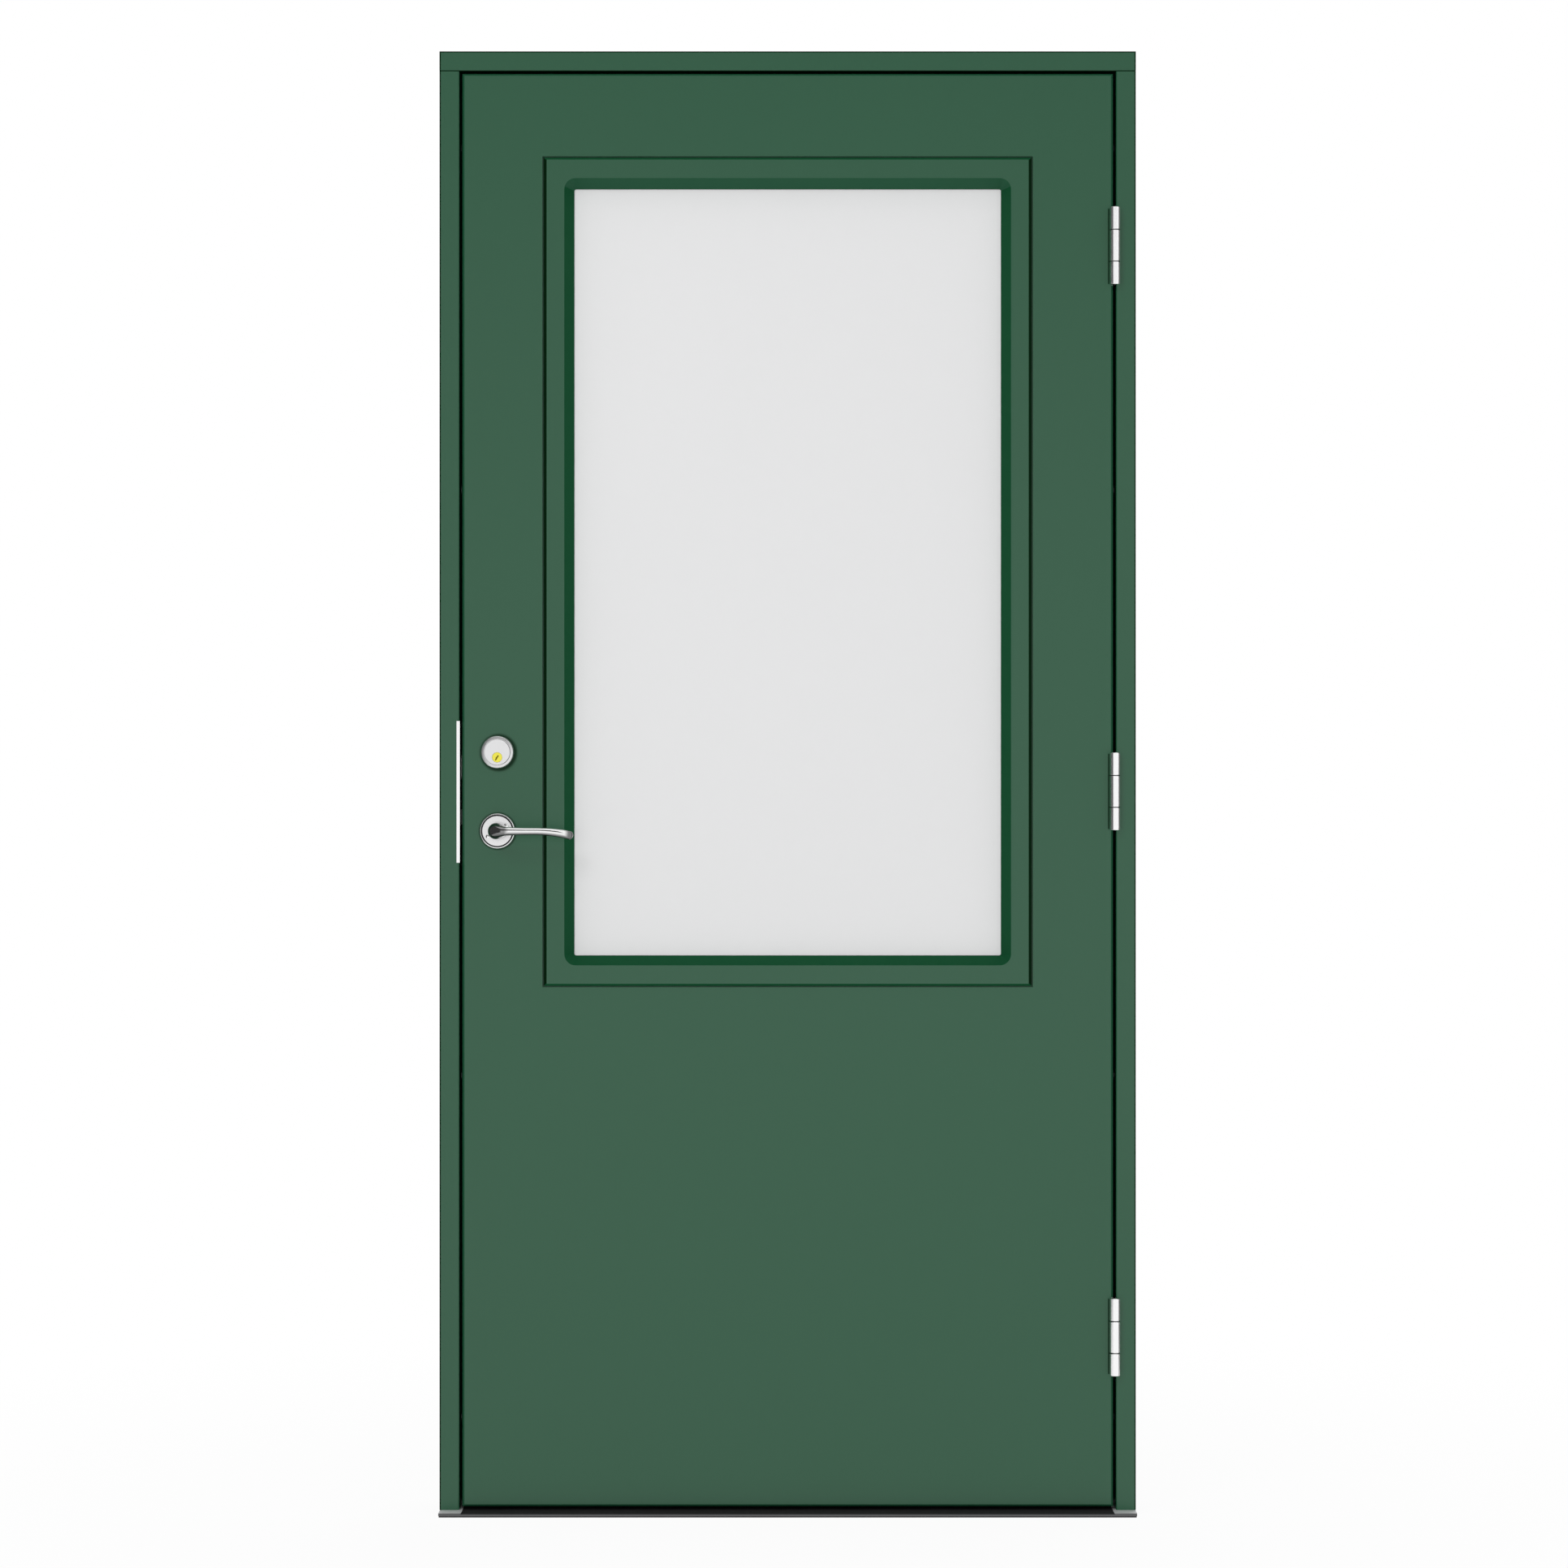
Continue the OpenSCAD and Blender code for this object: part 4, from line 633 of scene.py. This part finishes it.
# Lever swept from a round neck through a bend into a slim drooping arm
def leverMesh(spec, title):
    bendStart = spec["out"] - spec["bend"]
    neckLength = bendStart - spec["neckStart"]
    bendLength = spec["bend"] * math.pi / 2
    length = neckLength + bendLength + spec["reach"] - spec["bend"]

    def middle(s):
        if s < neckLength:
            return Vector((0, spec["neckStart"] + s, 0))
        if s < neckLength + bendLength:
            a = (s - neckLength) / spec["bend"]
            return Vector((spec["bend"] * (1 - math.cos(a)), bendStart + spec["bend"] * math.sin(a), 0))
        u = spec["bend"] + s - neckLength - bendLength
        bow = max(0.0, (u / spec["reach"] - spec["bowFrom"]) / (1 - spec["bowFrom"])) ** 2
        return Vector((u, spec["out"] - spec["back"] * bow, -spec["drop"] * bow))

    def halves(s):
        e = ease(0.95 * neckLength, neckLength + 1.05 * bendLength, s)
        tip = ease(0.5 * length, length, s)
        nose = max(0.0, (s - (length - spec["nose"])) / spec["nose"])
        k = math.sqrt(max(0.004, 1 - nose * nose))
        along = max(0.0, (s - neckLength - bendLength) / (spec["reach"] - spec["bend"]))
        rise = spec["flare"] * tip - spec["waist"] * math.sin(math.pi * along)
        high = spec["neck"] + (spec["halfHigh"] - spec["neck"]) * e + rise
        thick = spec["neck"] + (spec["halfThick"] - spec["neck"]) * e - spec["tipThick"] * tip
        return k * high, k * thick

    bm = bmesh.new()
    shade = bm.verts.layers.float.new("shade")  # painted shade and dark reflections round the root, under the arm and on the nose
    rings = []
    tail = (spec["nose"] + 0.001) / length
    crowd = spec["noseShare"]  # rings stand closer on the nose
    for i in range(spec["stations"] + 1):
        t = i / spec["stations"]
        share = (1 - tail) * t / (1 - crowd) if t < 1 - crowd else 1 - tail * ((1 - t) / crowd) ** spec["noseCrowd"]
        s = 0.00006 + (length - 0.00012) * share
        along = (middle(s + 0.00005) - middle(s - 0.00005)).normalized()
        side = Vector((-along.y, along.x, 0)).normalized()
        up = side.cross(along)
        high, thick = halves(s)
        ring = []
        for k in range(spec["sides"]):
            a = 2 * math.pi * k / spec["sides"]
            spot = middle(s) + side * thick * math.cos(a) - up * high * math.sin(a)
            made = bm.verts.new((spot.x + roseCentre[0], -spot.y, spot.z + roseCentre[1]))
            below = -math.sin(a)
            neck = spec["dimNeck"][0] + spec["dimNeck"][1] * ease(0.2, 0.9, below)
            root = (1 - ease(*spec["dimRoot"], spot.x)) * neck
            under = spec["dimUnder"] * ease(*spec["dimBelow"], below)
            nose = spec["dimNose"] * ease(length - spec["dimTip"][0], length - spec["dimTip"][1], s)
            # the nose's last bit keeps less painted shade, as a painted highlight on its rim
            nose *= 1 - spec["rimHighlight"] * ease(length - spec["dimRim"], length, s)
            made[shade] = max(root, under, nose)
            ring.append(made)
        rings.append(ring)
    for ring, following in zip(rings, rings[1:]):
        for k in range(spec["sides"]):
            j = (k + 1) % spec["sides"]
            bm.faces.new((ring[k], ring[j], following[j], following[k]))
    bm.faces.new(rings[0])
    bm.faces.new(rings[-1])
    # collar on the rose and journal in it
    for radius, low, high in (spec["collar"], spec["journal"]):
        section = roundedSection([
            (spec["bore"], low, 0), (radius, low, 0.0004), (radius, high, 0.0006), (spec["bore"], high, 0)])
        turnInto(bm, section, roseCentre, 0.0, -1, turnSteps["journal"])
    return meshFrom(bm, title, 40)


hang(linkPiece("outerLever", leverMesh(leverSpec, "outerLever"), leverFinish), "outer_lever")
innerMesh = leverMesh(leverSpec, "innerLever")
innerMesh.transform(Matrix.Translation((0, leafThick, 0)) @ Matrix.Scale(-1, 4, (0, 1, 0)))
innerMesh.flip_normals()
hang(linkPiece("innerLever", innerMesh, leverFinish), "inner_lever")
print("levers made")


def newTree(name, inputs):
    tree = bpy.data.node_groups.new(name, "GeometryNodeTree")
    tree.interface.new_socket("Geometry", in_out="INPUT", socket_type="NodeSocketGeometry")
    for label, (kind, value) in inputs.items():
        made = tree.interface.new_socket(label, in_out="INPUT", socket_type=kind)
        if value is not None:
            made.default_value = value
    tree.interface.new_socket("Geometry", in_out="OUTPUT", socket_type="NodeSocketGeometry")
    source = tree.nodes.new("NodeGroupInput")
    sink = tree.nodes.new("NodeGroupOutput")
    return tree, Wire(tree), {s.name: Wire(tree, s) for s in source.outputs if s.name}, sink


# Joins several geometries into one
def joinAll(wire, *parts):
    made = wire.tree.nodes.new("GeometryNodeJoinGeometry")
    for part in reversed(parts):
        wire.tree.links.new(part.socket, made.inputs[0])
    return Wire(wire.tree, made.outputs[0])


# Countersunk screws with a cross recess, one on each point, sunk along the point's aim
def screwTree():
    tree, wire, given, sink = newTree("countersunkScrews", {
        "Head Radius": ("NodeSocketFloat", 0.0043), "Shank Radius": ("NodeSocketFloat", 0.0022),
        "Length": ("NodeSocketFloat", 0.024), "Recess": ("NodeSocketFloat", 0.0005), "Seed": ("NodeSocketInt", 3),
        "Finish": ("NodeSocketMaterial", None)})
    headDepth = given["Head Radius"] - given["Shank Radius"]
    head = wire.node("GeometryNodeMeshCone", {"fill_type": "NGON"}, {
        "Vertices": 40, "Radius Top": given["Shank Radius"], "Radius Bottom": given["Head Radius"], "Depth": headDepth})
    shank = wire.node("GeometryNodeMeshCone", {"fill_type": "NGON"}, {
        "Vertices": 24, "Radius Top": given["Shank Radius"] * 0.35, "Radius Bottom": given["Shank Radius"] * 0.98,
        "Depth": given["Length"] - headDepth})
    lift = wire.node("ShaderNodeCombineXYZ", {}, {"Z": headDepth})
    shank = wire.node("GeometryNodeTransform", {}, {"Geometry": shank, "Translation": lift})
    arm = given["Head Radius"] * 1.15
    bars = []
    for across, along in ((arm, given["Recess"] * 2), (given["Recess"] * 2, arm)):
        size = wire.node("ShaderNodeCombineXYZ", {}, {"X": across, "Y": along, "Z": headDepth * 1.5})
        bars.append(wire.node("GeometryNodeMeshCube", {}, {"Size": size}))
    cut = wire.tree.nodes.new("GeometryNodeMeshBoolean")
    cut.operation = "DIFFERENCE"
    wire.tree.links.new(head.socket, cut.inputs["Mesh 1"])
    for bar in bars:
        wire.tree.links.new(bar.socket, cut.inputs["Mesh 2"])
    screw = joinAll(wire, Wire(tree, cut.outputs[0]), shank)
    aim = wire.node("GeometryNodeInputNamedAttribute", {"data_type": "FLOAT_VECTOR"}, {"Name": "aim"})
    turn = wire.node("FunctionNodeAlignRotationToVector", {"axis": "Z"}, {"Vector": aim})
    spin = wire.node("FunctionNodeRandomValue", {"data_type": "FLOAT"}, {2: 0.0, 3: 3.14, "Seed": given["Seed"]}, 1)
    spun = wire.node("FunctionNodeAxisAngleToRotation", {}, {"Axis": (0, 0, 1), "Angle": spin})
    turn = wire.node("FunctionNodeRotateRotation", {"rotation_space": "LOCAL"}, {0: turn, 1: spun})
    placed = wire.node("GeometryNodeInstanceOnPoints", {}, {
        "Points": given["Geometry"], "Instance": screw, "Rotation": turn})
    real = wire.node("GeometryNodeRealizeInstances", {}, {"Geometry": placed})
    done = wire.node("GeometryNodeSetMaterial", {}, {"Geometry": real, "Material": given["Finish"]})
    tree.links.new(done.socket, sink.inputs[0])
    return tree


# Ribbed strip: a slab with rounded ribs across its top
def treadTree():
    tree, wire, given, sink = newTree("ribbedTread", {
        "Width": ("NodeSocketFloat", 0.9), "Depth": ("NodeSocketFloat", 0.06), "Slab": ("NodeSocketFloat", 0.0012),
        "Rib": ("NodeSocketFloat", 0.0015), "Rise": ("NodeSocketFloat", 0.0008), "Pitch": ("NodeSocketFloat", 0.0044),
        "Count": ("NodeSocketInt", 14), "Finish": ("NodeSocketMaterial", None)})
    size = wire.node("ShaderNodeCombineXYZ", {}, {"X": given["Width"], "Y": given["Depth"], "Z": given["Slab"]})
    slab = wire.node("GeometryNodeMeshCube", {}, {"Size": size})
    seat = wire.node("ShaderNodeCombineXYZ", {}, {"Y": given["Depth"] * 0.5, "Z": given["Slab"] * 0.5})
    slab = wire.node("GeometryNodeTransform", {}, {"Geometry": slab, "Translation": seat})
    first = wire.node("ShaderNodeCombineXYZ", {}, {"Y": given["Pitch"] * 0.5 + 0.0004, "Z": given["Slab"]})
    step = wire.node("ShaderNodeCombineXYZ", {}, {"Y": given["Pitch"]})
    line = wire.node("GeometryNodeMeshLine", {"mode": "OFFSET"}, {
        "Count": given["Count"], "Start Location": first, "Offset": step})
    bar = wire.node("GeometryNodeMeshCylinder", {"fill_type": "NGON"}, {
        "Vertices": 20, "Radius": 1.0, "Depth": given["Width"] * 0.9995})
    shape = wire.node("ShaderNodeCombineXYZ", {}, {"X": given["Rise"], "Y": given["Rib"], "Z": 1.0})
    bar = wire.node("GeometryNodeTransform", {}, {"Geometry": bar, "Rotation": (0, math.pi / 2, 0), "Scale": shape})
    ribs = wire.node("GeometryNodeInstanceOnPoints", {}, {"Points": line, "Instance": bar})
    real = wire.node("GeometryNodeRealizeInstances", {}, {"Geometry": joinAll(wire, slab, ribs)})
    done = wire.node("GeometryNodeSetMaterial", {}, {"Geometry": real, "Material": given["Finish"]})
    tree.links.new(done.socket, sink.inputs[0])
    return tree


# Runs a tree on a piece's points and returns the finished mesh
def grown(title, points, tree, values, finish, angle):
    mesh = bpy.data.meshes.new(title + "Points")
    mesh.from_pydata([spot for spot, aim in points], [], [])
    layer = mesh.attributes.new("aim", "FLOAT_VECTOR", "POINT")
    for i, (spot, aim) in enumerate(points):
        layer.data[i].vector = aim
    carrier = bpy.data.objects.new(title + "Carrier", mesh)
    scene.collection.objects.link(carrier)
    modifier = carrier.modifiers.new("grow", "NODES")
    modifier.node_group = tree
    for item in tree.interface.items_tree:
        if item.in_out == "INPUT" and item.name in values:
            modifier[item.identifier] = values[item.name]
        if item.in_out == "INPUT" and item.name == "Finish":
            modifier[item.identifier] = finish
    seen = carrier.evaluated_get(bpy.context.evaluated_depsgraph_get())
    made = bpy.data.meshes.new_from_object(seen)
    carrier.modifiers.clear()
    bpy.data.objects.remove(carrier)
    bm = bmesh.new()
    bm.from_mesh(made)
    return meshFrom(bm, title, angle)


screws = screwTree()
screwSpec = {"frameEdge": 0.467, "strikeEdge": -0.466, "leafEdge": 0.4625, "hingeHigh": 0.110, "lockDepth": 0.030,
             "strikeLevels": (0.93625, 1.0125, 1.037, 1.11775), "forendMid": 1.027, "forendReach": 0.1085,
             "windowMid": 1.3399, "windowHalf": (0.3467, 0.5887), "windowInset": 0.01565, "innerFace": 0.0625,
             "cornerX": 0.481, "cornerDepths": (0.020, 0.080), "frameTop": 2.080, "sillFoot": 0.0019}
hingeSpots = [(0.012, 0.38), (0.024, 0.16), (0.024, -0.16), (0.012, -0.38)]
halfX, halfZ = screwSpec["windowHalf"]
inset, innerFace, middleZ = (screwSpec[key] for key in ("windowInset", "innerFace", "windowMid"))
cornerX, depths = screwSpec["cornerX"], screwSpec["cornerDepths"]


def hingeScrews(edge, aim):
    return [((edge, y, z + k * screwSpec["hingeHigh"]), (aim, 0, 0)) for z in hingeMids for y, k in hingeSpots]


# each set: title, radius of head and shank, length, points with their aim
screwSets = {
    "frame_plate_screws": ("framePlateScrews", 0.0043, 0.0022, 0.0198, hingeScrews(screwSpec["frameEdge"], 1) + [
        ((screwSpec["strikeEdge"], screwSpec["lockDepth"], z), (-1, 0, 0)) for z in screwSpec["strikeLevels"]]),
    "leaf_plate_screws": ("leafPlateScrews", 0.0043, 0.0022, 0.0398, hingeScrews(screwSpec["leafEdge"], -1)),
    "forend_screws": ("forendScrews", 0.0040, 0.0022, 0.0318, [
        ((-screwSpec["leafEdge"], screwSpec["lockDepth"], screwSpec["forendMid"] + k * screwSpec["forendReach"]),
         (1, 0, 0)) for k in (-1, 1)]),
    "glazing_screws": ("glazingScrews", 0.0037, 0.0020, 0.0338, [
        ((s * (halfX - inset), innerFace, middleZ + k * halfZ), (0, -1, 0))
        for s in (-1, 1) for k in (-0.82, -0.28, 0.28, 0.82)] + [
        ((k * halfX, innerFace, middleZ + s * (halfZ - inset)), (0, -1, 0)) for s in (-1, 1) for k in (-0.45, 0.45)]),
    "frame_corner_screws": ("frameCornerScrews", 0.0048, 0.0025, 0.0698, [
        ((s * cornerX, y, screwSpec["frameTop"]), (0, 0, -1)) for s in (-1, 1) for y in depths] + [
        ((s * cornerX, y, screwSpec["sillFoot"]), (0, 0, 1)) for s in (-1, 1) for y in depths]),
}
for held, (title, head, shank, length, points) in screwSets.items():
    values = {"Head Radius": head, "Shank Radius": shank, "Length": length, "Recess": 0.0005, "Seed": 3}
    grownMesh = grown(title, points, screws, values, finishes["zinc"], 30)
    hang(linkPiece(title, grownMesh, finishes["zinc"]), held)

low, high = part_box("threshold_tread")
treadSpec = {"Width": float(high[0] - low[0]), "Depth": float(high[1] - low[1]), "Slab": 0.0012, "Rib": 0.0015,
             "Rise": 0.0008, "Pitch": 0.0044, "Count": 14}
treadMesh = grown("treadStrip", [((0, 0, 0), (0, 0, 1))], treadTree(), treadSpec, finishes["rubber"], 50)
treadMesh.transform(Matrix.Translation((0, float(low[1]), float(low[2]))))
hang(linkPiece("treadStrip", treadMesh, finishes["rubber"]), "threshold_tread")
print("screws and tread grown")


floorLook = {"size": 30.0, "tones": ((0.80, 0.80, 0.80), (0.82, 0.82, 0.82)), "near": 0.94, "reach": (0.5, 2.2),
             "drop": 0.0004}


# Pale floor: the camera sees it nearly white, with the object's shadow kept
def floorFinish(look):
    made, wire, shader = startFinish("paleFloor")
    place = wire.node("ShaderNodeTexCoord", out="Object")
    setShader(wire, shader, {
        "Base Color": noiseAt(wire, place, 1.5).mix(*look["tones"]), "Roughness": 0.9, "Specular IOR Level": 0.0})
    away = wire.node("ShaderNodeVectorMath", {"operation": "LENGTH"}, {0: place}, "Value")
    glow = seenRays(wire) * mapped(wire, away, *look["reach"], look["near"], 1.0)
    showBlend(wire, glow, Wire(wire.tree, shader.outputs[0]), wire.node("ShaderNodeEmission"))
    return made


bm = bmesh.new()
bmesh.ops.create_grid(bm, x_segments=4, y_segments=4, size=floorLook["size"])
bmesh.ops.translate(bm, verts=bm.verts, vec=(0, 0, -floorLook["drop"]))
floor = linkPiece("studioFloor", meshFrom(bm, "studioFloor"), floorFinish(floorLook))

worldLook = {"level": 0.38, "zenith": 0.80}
world = bpy.data.worlds.new("studioWorld")
world.use_nodes = True
tree = world.node_tree
tree.nodes.clear()
wire = Wire(tree)
height = axesOf(wire, wire.node("ShaderNodeTexCoord", out="Generated"))[2]
fromAbove = mapped(wire, height, 0.0, 1.0, worldLook["level"], worldLook["zenith"], "LINEAR")
white = wire.node("ShaderNodeBackground", {}, {"Color": (1, 1, 1, 1), "Strength": 1.0})
soft = wire.node("ShaderNodeBackground", {}, {"Color": (1, 1, 1, 1), "Strength": fromAbove})
sky = wire.node("ShaderNodeMixShader", {}, {0: seenRays(wire), 1: soft, 2: white})
output = tree.nodes.new("ShaderNodeOutputWorld")
tree.links.new(sky.socket, output.inputs["Surface"])
scene.world = world


def softbox(name, place, aim, size, energy):
    light = bpy.data.lights.new(name, "AREA")
    light.shape = "RECTANGLE"
    light.size, light.size_y = size
    light.energy = energy
    holder = bpy.data.objects.new(name, light)
    holder.location = place
    holder.rotation_euler = (Vector(aim) - Vector(place)).to_track_quat("-Z", "Y").to_euler()
    scene.collection.objects.link(holder)
    return holder


lights = {
    "frontBox": ((0.0, -6.6, 0.9), (0.0, 0.0, 1.0), (5.0, 2.4), 122.0),
    "keyBox": ((-1.8, -4.4, 4.0), (0.0, 0.0, 1.1), (1.6, 1.6), 54.0),
    "backBox": ((1.5, 5.5, 3.2), (0.0, 0.0, 1.0), (4.0, 3.0), 115.0),
}
for name, (place, aim, size, energy) in lights.items():
    softbox(name, place, aim, size, energy).visible_glossy = False


cardLook = {"dark": ((0.030, 0.031, 0.032), (0.045, 0.046, 0.047)),
            "grey": ((0.15, 0.15, 0.15), (0.18, 0.18, 0.18))}


# Reflection cards at the sides and above the camera, seen only in gloss
def cardFinish(name, tones):
    made, wire, shader = startFinish(name)
    place = wire.node("ShaderNodeTexCoord", out="Object")
    setShader(wire, shader, {
        "Base Color": noiseAt(wire, place, 3.0).mix(*tones), "Roughness": 0.9, "Specular IOR Level": 0.0})
    return made


cardTones = {name: cardFinish(name + "Card", tones) for name, tones in cardLook.items()}
cards = {
    "studioCardLeft": ("grey", ((-1.75, -2.6, 0), (-1.75, 1.6, 0), (-1.75, 1.6, 3.6), (-1.75, -2.6, 3.6))),
    "studioCardRight": ("grey", ((1.75, -0.3, 0), (1.75, 1.6, 0), (1.75, 1.6, 3.6), (1.75, -0.3, 3.6))),
    "studioCardAbove": ("dark", ((-9.0, -12.0, 5.0), (9.0, -12.0, 5.0), (9.0, -12.0, 13.0), (-9.0, -12.0, 13.0))),
}
for name, (tone, corners) in cards.items():
    bm = bmesh.new()
    bm.faces.new([bm.verts.new(v) for v in corners])
    card = linkPiece(name, meshFrom(bm, name), cardTones[tone])
    for ray in ("camera", "diffuse", "transmission", "volume_scatter", "shadow"):
        setattr(card, "visible_" + ray, False)

cameraSpec = {"place": (-0.0052, -6.0, 1.0382), "halfView": 1.11457}
camera = bpy.data.objects.new("photoCamera", bpy.data.cameras.new("photoCamera"))
camera.location = cameraSpec["place"]
camera.rotation_euler = (math.pi / 2, 0, 0)
camera.data.sensor_fit = "HORIZONTAL"
camera.data.angle = 2 * math.atan(cameraSpec["halfView"] / -cameraSpec["place"][1])
scene.collection.objects.link(camera)
scene.camera = camera
print("studio set")
